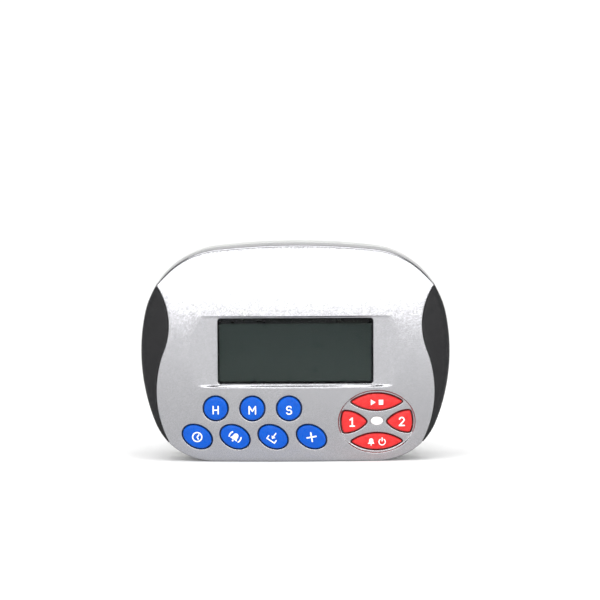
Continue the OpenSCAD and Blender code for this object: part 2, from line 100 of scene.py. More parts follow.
# Keys
KEY_GAP = 0.3
KEY_PROUD = 0.8
ROUND_R = 3.9
OVAL_A, OVAL_B = 5.0, 3.6
OVAL_TILT = math.radians(-27)
# Dish round the red keys, and the lamp in it
CLUSTER = Vector((26.8, 13.4))
DISH_A, DISH_B = 13.0, 10.8
DISH_DEPTH = 0.5
LAMP = (CLUSTER.x, CLUSTER.y + 0.3)
LAMP_A, LAMP_B = 2.1, 1.4
LAMP_PROUD = 0.3


# ---------------------------------------------------------------- plane geometry

def polar(centre, radius, degrees):
    angle = math.radians(degrees)
    return Vector((centre[0] + radius * math.cos(angle), centre[1] + radius * math.sin(angle)))


def arc(centre, radius, a0, a1, steps):
    """Points along an arc, both ends included. Angles are in degrees."""
    return [polar(centre, radius, a0 + (a1 - a0) * i / steps) for i in range(steps + 1)]


def bearing(a, b):
    return math.degrees(math.atan2(b[1] - a[1], b[0] - a[0]))


def circle_cross(c0, r0, c1, r1, left):
    """Where two circles cross, to the left or right of the line from c0 to c1."""
    c0, c1 = Vector(c0), Vector(c1)
    gap = (c1 - c0).length
    along = (r0 * r0 - r1 * r1 + gap * gap) / (2 * gap)
    across = math.sqrt(max(r0 * r0 - along * along, 0))
    u = (c1 - c0) / gap
    side = 1 if left else -1
    return c0 + along * u + side * across * Vector((-u.y, u.x))


SIDE_X = BODY_W / 2 - SIDE_R
TOP_Z = BODY_H - TOP_R
BASE_X = SIDE_X + math.sqrt((SIDE_R - BASE_R) ** 2 - (SIDE_Z - BASE_R) ** 2)
TOP_CORNER = circle_cross((0, TOP_Z), TOP_R - TOP_CORNER_R, (SIDE_X, SIDE_Z), SIDE_R - TOP_CORNER_R, False)
LOW_BEARING = bearing((SIDE_X, SIDE_Z), (BASE_X, BASE_R))
HIGH_BEARING = bearing((SIDE_X, SIDE_Z), TOP_CORNER)
CREST_BEARING = bearing((0, TOP_Z), TOP_CORNER)
TURN = bearing(HOLLOW, BULGE)


def right_edge(inset, fine=1):
    """Right half of the body outline, from the end of the flat base up to the top of the arch."""
    return (
        arc((BASE_X, BASE_R), BASE_R - inset, -90, LOW_BEARING, 30 * fine)
        + arc((SIDE_X, SIDE_Z), SIDE_R - inset, LOW_BEARING, HIGH_BEARING, 30 * fine)[1:]
        + arc(TOP_CORNER, TOP_CORNER_R - inset, HIGH_BEARING, CREST_BEARING, 36 * fine)[1:]
        + arc((0, TOP_Z), TOP_R - inset, CREST_BEARING, 90, 16 * fine)[1:]
    )


def edge_x(z, inset=0.0):
    """X of the body outline at a height, on the right."""
    if z < BASE_R + (BASE_R - inset) * math.sin(math.radians(LOW_BEARING)):
        centre, radius = (BASE_X, BASE_R), BASE_R
    elif z < SIDE_Z + SIDE_R * math.sin(math.radians(HIGH_BEARING)):
        centre, radius = (SIDE_X, SIDE_Z), SIDE_R
    else:
        centre, radius = TOP_CORNER, TOP_CORNER_R
    return centre[0] + math.sqrt(max((radius - inset) ** 2 - (z - centre[1]) ** 2, 0))


def grip_x(z):
    """X of the right grip's inner edge at a height."""
    if z > HOLLOW.y + HOLLOW_R * math.sin(math.radians(TURN)):
        return BULGE.x - math.sqrt(BULGE_R ** 2 - (z - BULGE.y) ** 2)
    return HOLLOW.x + math.sqrt(HOLLOW_R ** 2 - (z - HOLLOW.y) ** 2)


def crossing(low, high):
    """Height between two heights at which the grip edge meets the outline."""
    wide = edge_x(low) > grip_x(low)
    for _ in range(60):
        mid = (low + high) / 2
        if (edge_x(mid) > grip_x(mid)) == wide:
            low = mid
        else:
            high = mid
    return (low + high) / 2


GRIP_FOOT = crossing(20.0, 3.0)
GRIP_TOP = crossing(50.0, 63.0)


def resampled(points, step):
    """An open chain of points at even spacing of about step, ends kept."""
    run = [0.0]
    for a, b in zip(points, points[1:]):
        run.append(run[-1] + (Vector(b) - Vector(a)).length)
    count = max(2, round(run[-1] / step))
    xs = np.interp(np.linspace(0, run[-1], count + 1), run, [p[0] for p in points])
    ys = np.interp(np.linspace(0, run[-1], count + 1), run, [p[1] for p in points])
    return [Vector((x, y)) for x, y in zip(xs, ys)]


def mirrored(points):
    return [Vector((-p[0], p[1])) for p in reversed(points)]


def offset(loop, d):
    """A closed anticlockwise loop moved inwards by d, or by one d for each point, with mitred corners."""
    n = len(loop)
    moves = d if hasattr(d, "__len__") else [d] * n
    out = []
    for i in range(n):
        a, b, c = loop[i - 1], loop[i], loop[(i + 1) % n]
        u, v = (b - a).normalized(), (c - b).normalized()
        nu, nv = Vector((-u.y, u.x)), Vector((-v.y, v.x))
        m = (nu + nv).normalized()
        out.append(b + m * moves[i] / max(m.dot(nu), 0.3))
    return out


def inside(points, loop):
    """Whether each of an array of points lies in a closed loop."""
    x, y = points[:, 0], points[:, 1]
    lx = np.array([p[0] for p in loop])
    ly = np.array([p[1] for p in loop])
    found = np.zeros(len(points), bool)
    for x0, y0, x1, y1 in zip(lx, ly, np.roll(lx, -1), np.roll(ly, -1)):
        if y0 == y1:
            continue
        hit = (y0 > y) != (y1 > y)
        found ^= hit & (x < (x1 - x0) * (y - y0) / (y1 - y0) + x0)
    return found


def silver_loop(step=0.9):
    """Edge of the silver covers: the body outline between the grips' tips, and the grips' inner edges."""
    foot = Vector((edge_x(GRIP_FOOT), GRIP_FOOT))
    top = Vector((edge_x(GRIP_TOP), GRIP_TOP))
    edge = right_edge(0, 3)
    low = [p for p in edge if p.y < GRIP_FOOT and p.x > 0] + [foot]
    high = [top] + [p for p in edge if p.y > GRIP_TOP]
    heights = np.linspace(GRIP_FOOT, GRIP_TOP, 160)
    curve = [Vector((grip_x(z), z)) for z in heights]
    right = resampled(low, step)[:-1] + resampled(curve, step)[:-1] + resampled(high, step)
    base = resampled([Vector((-BASE_X, 0)), Vector((BASE_X, 0))], step)
    return right[:-1] + mirrored(right)[:-1] + base[:-1]


def rounded_rect(cx, cz, w, h, r, corner=6, edge=1.5):
    """Anticlockwise rounded rectangle with its long sides cut into short stretches."""
    out = []
    corners = [(1, 1, 0), (-1, 1, 90), (-1, -1, 180), (1, -1, 270)]
    for k, (sx, sz, a) in enumerate(corners):
        centre = (cx + sx * (w / 2 - r), cz + sz * (h / 2 - r))
        turn = arc(centre, r, a, a + 90, corner)
        nx, nz, na = corners[(k + 1) % 4]
        following = polar((cx + nx * (w / 2 - r), cz + nz * (h / 2 - r)), r, na)
        out += turn[:-1] + resampled([turn[-1], following], edge)[:-1]
    return out


def ellipse(cx, cz, a, b, tilt=0.0, count=72):
    c, s = math.cos(tilt), math.sin(tilt)
    out = []
    for i in range(count):
        t = 2 * math.pi * i / count
        x, z = a * math.cos(t), b * math.sin(t)
        out.append(Vector((cx + x * c - z * s, cz + x * s + z * c)))
    return out


def circle(centre, radius, count=40):
    return ellipse(centre[0], centre[1], radius, radius, 0, count)


def grown_rect(cx, cz, w, h, r, corner=6, edge=1.5):
    """A rounded rectangle as a function of how far it is grown."""
    return lambda g: rounded_rect(cx, cz, w + 2 * g, h + 2 * g, r + g, corner, edge)


def arcs_loop(arcs_of, grow, corner_r, per_arc=26, per_corner=7):
    """Loop of arcs with rounded corners, grown by grow. arcs_of(g) gives (centre, radius, start, end) of
    each arc of the sharp shape grown by g. Every grow gives the same number of points, in the same order."""
    base = arcs_of(min(-corner_r, grow))
    sweep = max(corner_r + grow, 0)
    out = []
    for k, (centre, radius, a0, a1) in enumerate(base):
        out += arc(centre, radius + sweep, a0, a1, per_arc)
        end = polar(centre, radius, a1)
        next_start = base[(k + 1) % len(base)][2]
        while next_start < a1:
            next_start += 360
        for i in range(1, per_corner):
            out.append(polar(end, sweep, a1 + (next_start - a1) * i / per_corner))
    return out


# Key shapes, each about its own centre
LENS_W = 16.9
LENS_H = 5.4
LENS_R = (LENS_W ** 2 + LENS_H ** 2) / (4 * LENS_H)
LENS_RISE = 6.7
SIDE_IN = 3.3
SIDE_OUT = 11.7
SIDE_HALF = 3.6
ARCH_X = SIDE_OUT - 1
ARCH_R = ((ARCH_X - SIDE_IN) ** 2 + SIDE_HALF ** 2) / (2 * SIDE_HALF)
BLUNT_R = 9.6
SIDE_MID = (SIDE_IN + SIDE_OUT) / 2
LENS_CORNER, SIDE_CORNER = 0.25, 0.7


def lens_arcs(g):
    radius, drop = LENS_R + g, LENS_R - LENS_H / 2
    half = math.degrees(math.acos(drop / radius))
    return [((0, -drop), radius, 90 - half, 90 + half), ((0, drop), radius, 270 - half, 270 + half)]


def side_arcs(g):
    """Pointed arch with its blunt end to the right, about the cluster's centre."""
    radius, drop, blunt = ARCH_R + g, ARCH_R - SIDE_HALF, BLUNT_R + g
    low_c, high_c, blunt_c = (ARCH_X, -drop), (ARCH_X, drop), (SIDE_OUT - BLUNT_R, 0)
    tip = circle_cross(low_c, radius, high_c, radius, True)
    corner = circle_cross(low_c, radius, blunt_c, blunt, False)
    a_corner = bearing(low_c, corner)
    a_tip = bearing(low_c, tip)
    b_corner = bearing(blunt_c, corner)
    return [
        (low_c, radius, a_corner, a_tip),
        (high_c, radius, 360 - a_tip, 360 - a_corner),
        (blunt_c, blunt, 360 - b_corner, 360 + b_corner),
    ]


def round_loop(g):
    return circle((0, 0), ROUND_R + g, 72)


def oval_loop(g):
    return ellipse(0, 0, OVAL_A + g, OVAL_B + g, OVAL_TILT, 84)


def lens_loop(g):
    return arcs_loop(lens_arcs, g, LENS_CORNER, 40)


def side_loop(g):
    return [p - Vector((SIDE_MID, 0)) for p in arcs_loop(side_arcs, g, SIDE_CORNER)]


def side_loop_left(g):
    return [Vector((-p.x, -p.y)) for p in side_loop(g)]


# Each key's middle, outline and material slot
KEYS = {
    "hour_key": ((-26.4, 18.1), round_loop, "blue_key"),
    "minute_key": ((-14.3, 18.1), round_loop, "blue_key"),
    "second_key": ((-2.2, 18.1), round_loop, "blue_key"),
    "clock_key": ((-32.6, 8.5), oval_loop, "blue_key"),
    "alarm_key": ((-20.1, 8.5), oval_loop, "blue_key"),
    "memory_key": ((-7.5, 8.5), oval_loop, "blue_key"),
    "clear_key": ((5.2, 8.5), oval_loop, "blue_key"),
    "start_stop_key": ((CLUSTER.x, CLUSTER.y + LENS_RISE), lens_loop, "red_key"),
    "alarm_switch_key": ((CLUSTER.x, CLUSTER.y - LENS_RISE), lens_loop, "red_key"),
    "timer_1_key": ((CLUSTER.x - SIDE_MID, CLUSTER.y), side_loop_left, "red_key"),
    "timer_2_key": ((CLUSTER.x + SIDE_MID, CLUSTER.y), side_loop, "red_key"),
}


# ---------------------------------------------------------------- surfaces

def smooth_step(t):
    t = min(max(t, 0.0), 1.0)
    return t * t * (3 - 2 * t)


def soft_max(a, b, k):
    """The larger of a and b, with the corner between them rounded over about k."""
    h = max(k - abs(a - b), 0) / k
    return max(a, b) + h * h * k / 4


def crown_y(x, z):
    """Y of the plain crowned face."""
    ring = CROWN_ACROSS - CROWN_UP + math.sqrt(CROWN_UP ** 2 - (z - MID_Z) ** 2)
    return FRONT + CROWN_ACROSS - math.sqrt(ring * ring - x * x)


RECESS_Y = crown_y(RECESS_HALF, WINDOW_Z + RECESS_H / 2)
# Heights between which the recess runs out into the face, below and above
BEVEL_LOW = (24.95, 26.0)
BEVEL_HIGH = (48.25, 48.8)
# Shares of the dish's radius between which it sinks
DISH_RIM = (0.955, 1.0)


def dish_radius(x, z):
    """1 on the dish's rim, less inside it."""
    return math.hypot((x - CLUSTER.x) / DISH_A, (z - CLUSTER.y) / DISH_B)


def face_y(x, z):
    """Y of the face with its display recess and its dish."""
    y = crown_y(x, z)
    share = smooth_step((z - BEVEL_LOW[0]) / (BEVEL_LOW[1] - BEVEL_LOW[0]))
    share *= 1 - smooth_step((z - BEVEL_HIGH[0]) / (BEVEL_HIGH[1] - BEVEL_HIGH[0]))
    if share > 0 and abs(x) < RECESS_HALF + 4:
        y += (soft_max(y, RECESS_Y, 0.12) - y) * share
    q = dish_radius(x, z)
    if q < DISH_RIM[1]:
        y += DISH_DEPTH * (1 - smooth_step((q - DISH_RIM[0]) / (DISH_RIM[1] - DISH_RIM[0])))
    return y


BACK_APEX = BACK + BACK_FLAT ** 2 / (2 * BACK_R)


def back_face_y(x, z):
    """Y of the domed back with its flat."""
    dome = BACK_APEX - BACK_R + math.sqrt(BACK_R ** 2 - x * x - (z - MID_Z) ** 2)
    return -soft_max(-dome, -BACK, 0.5)


# ---------------------------------------------------------------- meshes

def put(name, data):
    """Adds an object to the scene."""
    thing = bpy.data.objects.new(name, data)
    bpy.context.scene.collection.objects.link(thing)
    return thing


CREASE_CLEAR = 0.12
GRID_CLEAR = 0.55


def depth_at(y_of, x, z):
    """A depth that is given as a number or as a function of the place."""
    return y_of(x, z) if callable(y_of) else y_of


def in_region(points, loops):
    """Whether each of an array of points lies inside the first loop and outside the others."""
    found = inside(points, loops[0])
    for hole in loops[1:]:
        found &= ~inside(points, hole)
    return found


def clear_of(p, taken, gap):
    """Whether a point is farther than gap from all of an array of points."""
    return np.min(np.hypot(taken[:, 0] - p[0], taken[:, 1] - p[1])) > gap


def triangle_grid(loop, spacing):
    """Points of a triangular grid over a loop's box."""
    xs = np.array([p[0] for p in loop])
    zs = np.array([p[1] for p in loop])
    pitch = spacing * 0.866
    grid = []
    for r in range(int((zs.max() - zs.min()) / pitch) + 2):
        shift = spacing / 2 if r % 2 else 0
        grid += [(x, zs.min() + r * pitch) for x in np.arange(xs.min() + shift, xs.max(), spacing)]
    return np.array(grid)


class Skin:
    """Collects the points and faces of one closed mesh."""

    def __init__(self):
        self.points = []
        self.faces = []

    def add(self, points):
        """Adds points and returns their numbers."""
        start = len(self.points)
        self.points += points
        return list(range(start, len(self.points)))

    def ring(self, loop, y_of):
        """Adds a loop of plane points at depth y_of."""
        return self.add([(p[0], depth_at(y_of, p[0], p[1]), p[1]) for p in loop])

    def bridge(self, a, b):
        """Joins two rings with the same number of points."""
        n = len(a)
        for i in range(n):
            j = (i + 1) % n
            self.faces.append((a[i], a[j], b[j], b[i]))

    def stack(self, rings):
        for a, b in zip(rings, rings[1:]):
            self.bridge(a, b)
        return rings[-1]

    def fan(self, ring, point):
        """Closes a ring with triangles that meet at a point."""
        tip = self.add([point])[0]
        self.faces += [(a, b, tip) for a, b in zip(ring, ring[1:] + ring[:1])]

    def patch(self, rims, y_of, spacing, creases=(), flip=False):
        """Fills the region inside the first rim and outside the others with triangles. rims are lists of
        point numbers. creases are lists of plane points that the triangles' edges follow."""
        loops = [[(self.points[i][0], self.points[i][2]) for i in rim] for rim in rims]
        owner = [i for rim in rims for i in rim]
        plane = [p for loop in loops for p in loop]
        edges = []
        for loop in loops:
            first = len(edges)
            edges += [(first + k, first + (k + 1) % len(loop)) for k in range(len(loop))]
        rim_points = np.array(plane)
        for crease in creases:
            points = np.array([tuple(p) for p in crease])
            kept = in_region(points, loops)
            plane += [tuple(p) for p, ok in zip(points, kept) if ok and clear_of(p, rim_points, CREASE_CLEAR)]
        taken = np.array(plane)
        grid = triangle_grid(loops[0], spacing)
        grid = grid[in_region(grid, loops)]
        plane += [tuple(p) for p in grid if clear_of(p, taken, spacing * GRID_CLEAR)]
        verts, _, tris, source, _, _ = delaunay_2d_cdt([Vector(p) for p in plane], edges, [], 0, 1e-6, True)
        number = []
        for v, came_from in zip(verts, source):
            known = [i for i in came_from if i < len(owner)]
            if known:
                number.append(owner[known[0]])
            else:
                number += self.add([(v.x, depth_at(y_of, v.x, v.y), v.y)])
        centres = np.array([[sum(verts[i].x for i in t) / 3, sum(verts[i].y for i in t) / 3] for t in tris])
        for t, ok in zip(tris, in_region(centres, loops)):
            if ok:
                a, b, c = (number[i] for i in t)
                self.faces.append((a, c, b) if flip else (a, b, c))

    def build(self, name, material, body, replaces=(), smooth=35):
        """Cleans the mesh, shades it smooth but for its sharp edges, and hangs it on its body."""
        mesh = bpy.data.meshes.new(name)
        mesh.from_pydata([Vector(p) * MM for p in self.points], [], self.faces)
        bm = bmesh.new()
        bm.from_mesh(mesh)
        bmesh.ops.remove_doubles(bm, verts=bm.verts, dist=1e-7)
        bmesh.ops.dissolve_degenerate(bm, edges=bm.edges, dist=1e-8)
        bmesh.ops.delete(bm, geom=[v for v in bm.verts if not v.link_faces], context="VERTS")
        bmesh.ops.recalc_face_normals(bm, faces=bm.faces)
        if any(len(e.link_faces) != 2 for e in bm.edges):
            print("OPEN", name)
        bm.to_mesh(mesh)
        bm.free()
        mesh.shade_smooth()
        mesh.set_sharp_from_angle(angle=math.radians(smooth))
        mesh.materials.append(material)
        piece = put(name, mesh)
        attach(piece, body)
        if replaces:
            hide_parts(*replaces)
        return piece


def quarter(steps):
    """Shares of a quarter round: (how far in from the edge, how deep) from the flat round to the wall."""
    return [(1 - math.sin(a), 1 - math.cos(a)) for a in np.linspace(0, math.pi / 2, steps + 1)]


# ---------------------------------------------------------------- materials

MIX_A, MIX_B, MIX_OUT = 6, 7, 2


class Paint:
    """Builds one node material on a Principled shader."""

    def __init__(self, name, colour, roughness, metallic=0.0):
        self.material = bpy.data.materials.new(name)
        self.material.use_nodes = True
        self.nodes = self.material.node_tree.nodes
        self.links = self.material.node_tree.links
        self.shader = self.nodes["Principled BSDF"]
        self.set("Base Color", (*colour, 1))
        self.set("Roughness", roughness)
        self.set("Metallic", metallic)
        self.colour = colour
        self.place = self.add("ShaderNodeTexCoord").outputs["Object"]
        self.bump_out = None

    def feed(self, node, socket, value):
        """Gives a node's input a value or another node's output."""
        if isinstance(value, bpy.types.NodeSocket):
            self.links.new(value, node.inputs[socket])
        else:
            node.inputs[socket].default_value = value

    def set(self, socket, value):
        self.feed(self.shader, socket, value)

    def add(self, kind, inputs=(), **settings):
        """Adds a node. inputs maps its sockets to values or to other nodes' outputs."""
        node = self.nodes.new(kind)
        for key, value in settings.items():
            setattr(node, key, value)
        for socket, value in dict(inputs).items():
            self.feed(node, socket, value)
        return node

    def noise(self, size, detail=3.0, rough=0.5, stretch=None):
        """Noise whose blobs are about size millimetres across."""
        place = self.place
        if stretch:
            place = self.add("ShaderNodeMapping", {"Vector": place, "Scale": stretch}).outputs["Vector"]
        inputs = {"Scale": 1 / (size * MM), "Detail": detail, "Roughness": rough, "Vector": place}
        return self.add("ShaderNodeTexNoise", inputs).outputs["Fac"]

    def cells(self, size, output="Color"):
        inputs = {"Scale": 1 / (size * MM), "Vector": self.place}
        return self.add("ShaderNodeTexVoronoi", inputs).outputs[output]

    def axis(self, name):
        """One coordinate of the place on the object, in metres."""
        return self.add("ShaderNodeSeparateXYZ", {0: self.place}).outputs[name]

    def ramp(self, source, stops):
        """Maps a value through (position, value or colour) stops."""
        node = self.add("ShaderNodeValToRGB", {"Fac": source})
        elements = node.color_ramp.elements
        while len(elements) < len(stops):
            elements.new(0.5)
        for element, (position, value) in zip(elements, stops):
            element.position = position
            element.color = (*value, 1) if hasattr(value, "__len__") else (value, value, value, 1)
        return node.outputs["Color"]

    def tint(self, source, low, high):
        """Base colour that runs from low to high times the plain colour as source goes from 0.3 to 0.7."""
        ends = ((0.3, low), (0.7, high))
        stops = [(at, [min(c * share, 1) for c in self.colour]) for at, share in ends]
        self.set("Base Color", self.ramp(source, stops))

    def mix(self, share, a, b):
        """Colour a where share is 0 and b where it is 1."""
        a, b = ((*c, 1) if isinstance(c, tuple) else c for c in (a, b))
        node = self.add("ShaderNodeMix", {"Factor": share, MIX_A: a, MIX_B: b}, data_type="RGBA")
        return node.outputs[MIX_OUT]

    def vary_roughness(self, source, low, high):
        self.set("Roughness", self.ramp(source, [(0.3, low), (0.7, high)]))

    def bump(self, source, depth):
        """Raises the surface by depth millimetres where source is 1."""
        inputs = {"Height": source, "Distance": depth * MM, "Strength": 1.0}
        if self.bump_out is not None:
            inputs["Normal"] = self.bump_out
        self.bump_out = self.add("ShaderNodeBump", inputs).outputs["Normal"]
        self.set("Normal", self.bump_out)

    def edge_highlight_mask(self, size, low, high):
        """1 on sharp outer edges and 0 elsewhere, broken up by noise of that size. Used as the mask of a
        painted edge highlight.
        """
        edge = self.ramp(self.add("ShaderNodeNewGeometry").outputs["Pointiness"], [(low, 0.0), (high, 1.0)])
        broken = self.ramp(self.noise(size), [(0.35, 0.0), (0.65, 1.0)])
        return self.add("ShaderNodeMath", {0: edge, 1: broken}, operation="MULTIPLY").outputs[0]


def silver_paint():
    """Satin silver paint: fine flakes that each lean a little, under a thin clear coat."""
    paint = Paint("silver_paint", (0.325, 0.325, 0.338), 0.27, 0.92)
    paint.tint(paint.cells(0.5, "Distance"), 0.95, 1.06)
    lean = 0.046
    inputs = {0: paint.cells(0.42), 1: (lean, lean, lean), 2: (-lean / 2, -lean / 2, -lean / 2)}
    flake = paint.add("ShaderNodeVectorMath", inputs, operation="MULTIPLY_ADD").outputs[0]
    plain = paint.add("ShaderNodeNewGeometry").outputs["Normal"]
    leaning = paint.add("ShaderNodeVectorMath", {0: flake, 1: plain}, operation="ADD").outputs[0]
    paint.bump_out = paint.add("ShaderNodeVectorMath", {0: leaning}, operation="NORMALIZE").outputs[0]
    paint.bump(paint.noise(0.5, 4), 0.006)
    paint.vary_roughness(paint.noise(3.0, 4), 0.21, 0.25)
    paint.set("Specular Tint", (0.75, 0.75, 0.75, 1))
    paint.set("Coat Weight", 0.12)
    paint.set("Coat Roughness", 0.22)
    return paint.material


def grey_shell():
    """Moulded light grey plastic with a fine spark-eroded texture."""
    paint = Paint("grey_shell", (0.56, 0.565, 0.555), 0.5)
    paint.tint(paint.noise(6, 5), 0.96, 1.04)
    paint.bump(paint.noise(0.28, 2, 0.6), 0.02)
    paint.vary_roughness(paint.noise(1.2, 4), 0.44, 0.58)
    return paint.material


def grip_rubber():
    """Charcoal soft-touch rubber with a fine grain and a painted highlight: slightly paler colour on its
    sharp edges.
    """
    paint = Paint("grip_rubber", (0.013, 0.013, 0.015), 0.5)
    paint.set("Specular IOR Level", 0.22)
    # Painted highlight: paler colour on the sharp edges, broken up by noise, standing in for the light that
    # catches the grips' rounded edges.
    edge_highlighted = paint.mix(paint.edge_highlight_mask(1.5, 0.5, 0.56), (0.006, 0.006, 0.007), (0.03, 0.03, 0.031))
    paint.set("Base Color", edge_highlighted)
    paint.bump(paint.noise(0.22, 2, 0.6), 0.03)
    paint.vary_roughness(paint.noise(2.0, 4), 0.45, 0.58)
    paint.set("Sheen Weight", 0.05)
    paint.set("Sheen Roughness", 0.4)
    return paint.material


def key_plastic(name, colour, deep):
    """Moulded key with a touch of depth and a faint orange-peel surface."""
    paint = Paint(name, colour, 0.28)
    patches = paint.ramp(paint.noise(1.8, 4), [(0.35, 0.0), (0.75, 1.0)])
    paint.set("Base Color", paint.mix(patches, colour, deep))
    paint.bump(paint.noise(0.45, 2), 0.008)
    paint.vary_roughness(paint.noise(0.9, 4), 0.24, 0.36)
    paint.set("Subsurface Weight", 0.06)
    paint.set("Subsurface Radius", (0.6 * MM, 0.3 * MM, 0.3 * MM))
    paint.set("Coat Weight", 0.05)
    paint.set("Coat Roughness", 0.12)
    paint.set("Specular IOR Level", 0.14)
    return paint.material


def white_ink():
    """Thin pad-printed ink, a little uneven."""
    paint = Paint("white_ink", (0.86, 0.88, 0.88), 0.42)
    paint.tint(paint.noise(0.35, 3), 0.9, 1.05)
    paint.bump(paint.noise(0.2, 2), 0.004)
    return paint.material


def clear_window():
    """Clear window with the faintest smears. It reflects less than bare acrylic, as if coated."""
    paint = Paint("clear_window", (0.95, 0.97, 0.97), 0.03)
    paint.set("Transmission Weight", 1.0)
    paint.set("IOR", 1.16)
    paint.set("Specular Tint", (0.3, 0.3, 0.3, 1))
    paint.vary_roughness(paint.noise(9, 5), 0.02, 0.05)
    return paint.material


def lcd_face():
    """Blank display glass, dark grey-green, with light and shade painted on: a painted shadow band across the
    top, painted shade along the sides, a narrow black strip at the bottom, and paler colour low down as
    painted light.
    """
    paint = Paint("lcd_face", (0.011, 0.016, 0.0145), 0.3)
    black = (0.002, 0.002, 0.0025)
    low, high = ((WINDOW_Z + side * WINDOW_H / 2) * MM for side in (-1, 1))
    inputs = {"From Min": low, "From Max": high, "Value": paint.axis("Z")}
    height = paint.add("ShaderNodeMapRange", inputs).outputs["Result"]
    # Painted light and shade up the display: a narrow black strip at the bottom, paler low down as painted
    # light, darker higher up, and a black painted shadow band across the top where the recess's upper wall
    # shades the glass.
    stops = [(0.02, black), (0.04, (0.028, 0.037, 0.034)), (0.895, (0.020, 0.028, 0.026)), (0.915, black)]
    glass = paint.ramp(height, stops)
    # Painted shade: black along the display's left and right edges, where the window's side walls shade the
    # glass.
    side = paint.add("ShaderNodeMath", {0: paint.axis("X")}, operation="ABSOLUTE").outputs[0]
    inputs = {"From Max": WINDOW_W / 2 * MM, "Value": side}
    width = paint.add("ShaderNodeMapRange", inputs).outputs["Result"]
    side_shade = paint.ramp(width, [(0.972, 0.0), (0.984, 1.0)])
    paint.set("Base Color", paint.mix(side_shade, glass, black))
    paint.bump(paint.noise(0.08, 2), 0.002)
    paint.vary_roughness(paint.noise(4, 4), 0.26, 0.34)
    paint.set("Specular IOR Level", 0.1)
    return paint.material


def lamp_white():
    paint = Paint("lamp_white", (0.9, 0.9, 0.89), 0.22)
    paint.tint(paint.noise(0.8, 3), 0.97, 1.03)
    paint.bump(paint.noise(0.4, 2), 0.004)
    paint.set("Subsurface Weight", 0.3)
    paint.set("Subsurface Radius", (0.5 * MM, 0.5 * MM, 0.5 * MM))
    return paint.material


def metal(name, colour, roughness, streak=None):
    """Plain metal, streaked along the axis in which streak is smallest."""
    paint = Paint(name, colour, roughness, 1.0)
    paint.tint(paint.noise(1.5, 4, 0.6, streak), 0.9, 1.06)
    paint.vary_roughness(paint.noise(0.5, 4, 0.6, streak), roughness * 0.8, roughness * 1.25)
    paint.bump(paint.noise(0.25, 3, 0.6, streak), 0.004)
    return paint.material


def moulded(name, colour, roughness, grain=0.3):
    """Plain moulded plastic or rubber with a fine grain."""
    paint = Paint(name, colour, roughness)
    paint.tint(paint.noise(2.5, 4), 0.93, 1.06)
    paint.vary_roughness(paint.noise(1.0, 4), roughness * 0.85, roughness * 1.2)
    paint.bump(paint.noise(grain, 2), 0.012)
    return paint.material


def circuit_board():
    """Green solder mask with paler copper tracks under it."""
    paint = Paint("board", (0.02, 0.16, 0.07), 0.35)
    black, white = (0, 0, 0, 1), (1, 1, 1, 1)
    upright = {"Rotation": (math.radians(90), 0, 0), "Vector": paint.place}
    inputs = {
        "Scale": 1 / (9 * MM), "Mortar Size": 0.035, "Color1": black, "Color2": black, "Mortar": white,
        "Vector": paint.add("ShaderNodeMapping", upright).outputs["Vector"],
    }
    tracks = paint.add("ShaderNodeTexBrick", inputs).outputs["Color"]
    paint.set("Base Color", paint.mix(tracks, (0.012, 0.11, 0.045), (0.05, 0.28, 0.12)))
    paint.bump(tracks, 0.03)
    paint.vary_roughness(paint.noise(1.0, 3), 0.3, 0.42)
    return paint.material


def cell_jacket():
    """Plain two-colour sleeve: copper-coloured at the button end and black elsewhere."""
    paint = Paint("cell_jacket", (0.02, 0.02, 0.022), 0.3)
    inputs = {0: paint.axis("X"), 1: 1 / (50 * MM), 2: 0.5}
    along = paint.add("ShaderNodeMath", inputs, operation="MULTIPLY_ADD").outputs[0]
    black = (0.015, 0.015, 0.017)
    paint.set("Base Color", paint.ramp(along, [(0.0, black), (0.70, black), (0.705, (0.55, 0.24, 0.08))]))
    paint.bump(paint.noise(0.6, 3), 0.01)
    paint.vary_roughness(paint.noise(2, 4), 0.22, 0.36)
    paint.set("Metallic", 0.35)
    return paint.material


SILVER = silver_paint()
SHELL = grey_shell()
RUBBER = grip_rubber()
BLUE = key_plastic("blue_key", (0.001, 0.088, 0.49), (0.001, 0.067, 0.41))
RED = key_plastic("red_key", (0.66, 0.034, 0.034), (0.52, 0.019, 0.021))
INK = white_ink()


# ---------------------------------------------------------------- front cover

SILVER_EDGE = silver_loop()
HOLE_ROUND = 0.38
WINDOW_ROUND = 0.22
LAMP_HOLE_ROUND = 0.15
FACE_ROUND = 0.65
GRIP_SIDE_ROUND = 0.3
GRIP_FADE = 4.0
SEAM = 0.25


def edge_radii(plain):
    """Radius of a cover's rounded edge at each point: small beside the grips, growing to plain beyond
    their tips."""
    radii = []
    for p in SILVER_EDGE:
        beyond = max(GRIP_FOOT - p[1], p[1] - GRIP_TOP) if abs(p[0]) > BASE_X else GRIP_FADE
        radii.append(GRIP_SIDE_ROUND + (plain - GRIP_SIDE_ROUND) * smooth_step(beyond / GRIP_FADE))
    return radii


def wall_loop():
    """Inner edge of the covers' side wall: the outer edge moved in, less near the grips' sharp tips."""
    tips = [Vector((side * edge_x(z), z)) for side in (-1, 1) for z in (GRIP_FOOT, GRIP_TOP)]
    moves = [min(WALL, 0.35 + 0.5 * min((p - tip).length for tip in tips)) for p in SILVER_EDGE]
    return offset(SILVER_EDGE, moves)


def edge_rings(skin, loop, sign, y_of, radii, steps=6):
    """Rings that round the rim of a face over to its side wall. sign is 1 on the face and -1 on the back."""
    rings = []
    for share_in, share_deep in quarter(steps):
        moved = offset(loop, [r * share_in for r in radii])
        depths = iter([sign * r * share_deep for r in radii])
        rings.append(skin.ring(moved, lambda x, z: depth_at(y_of, x, z) + next(depths)))
    return rings


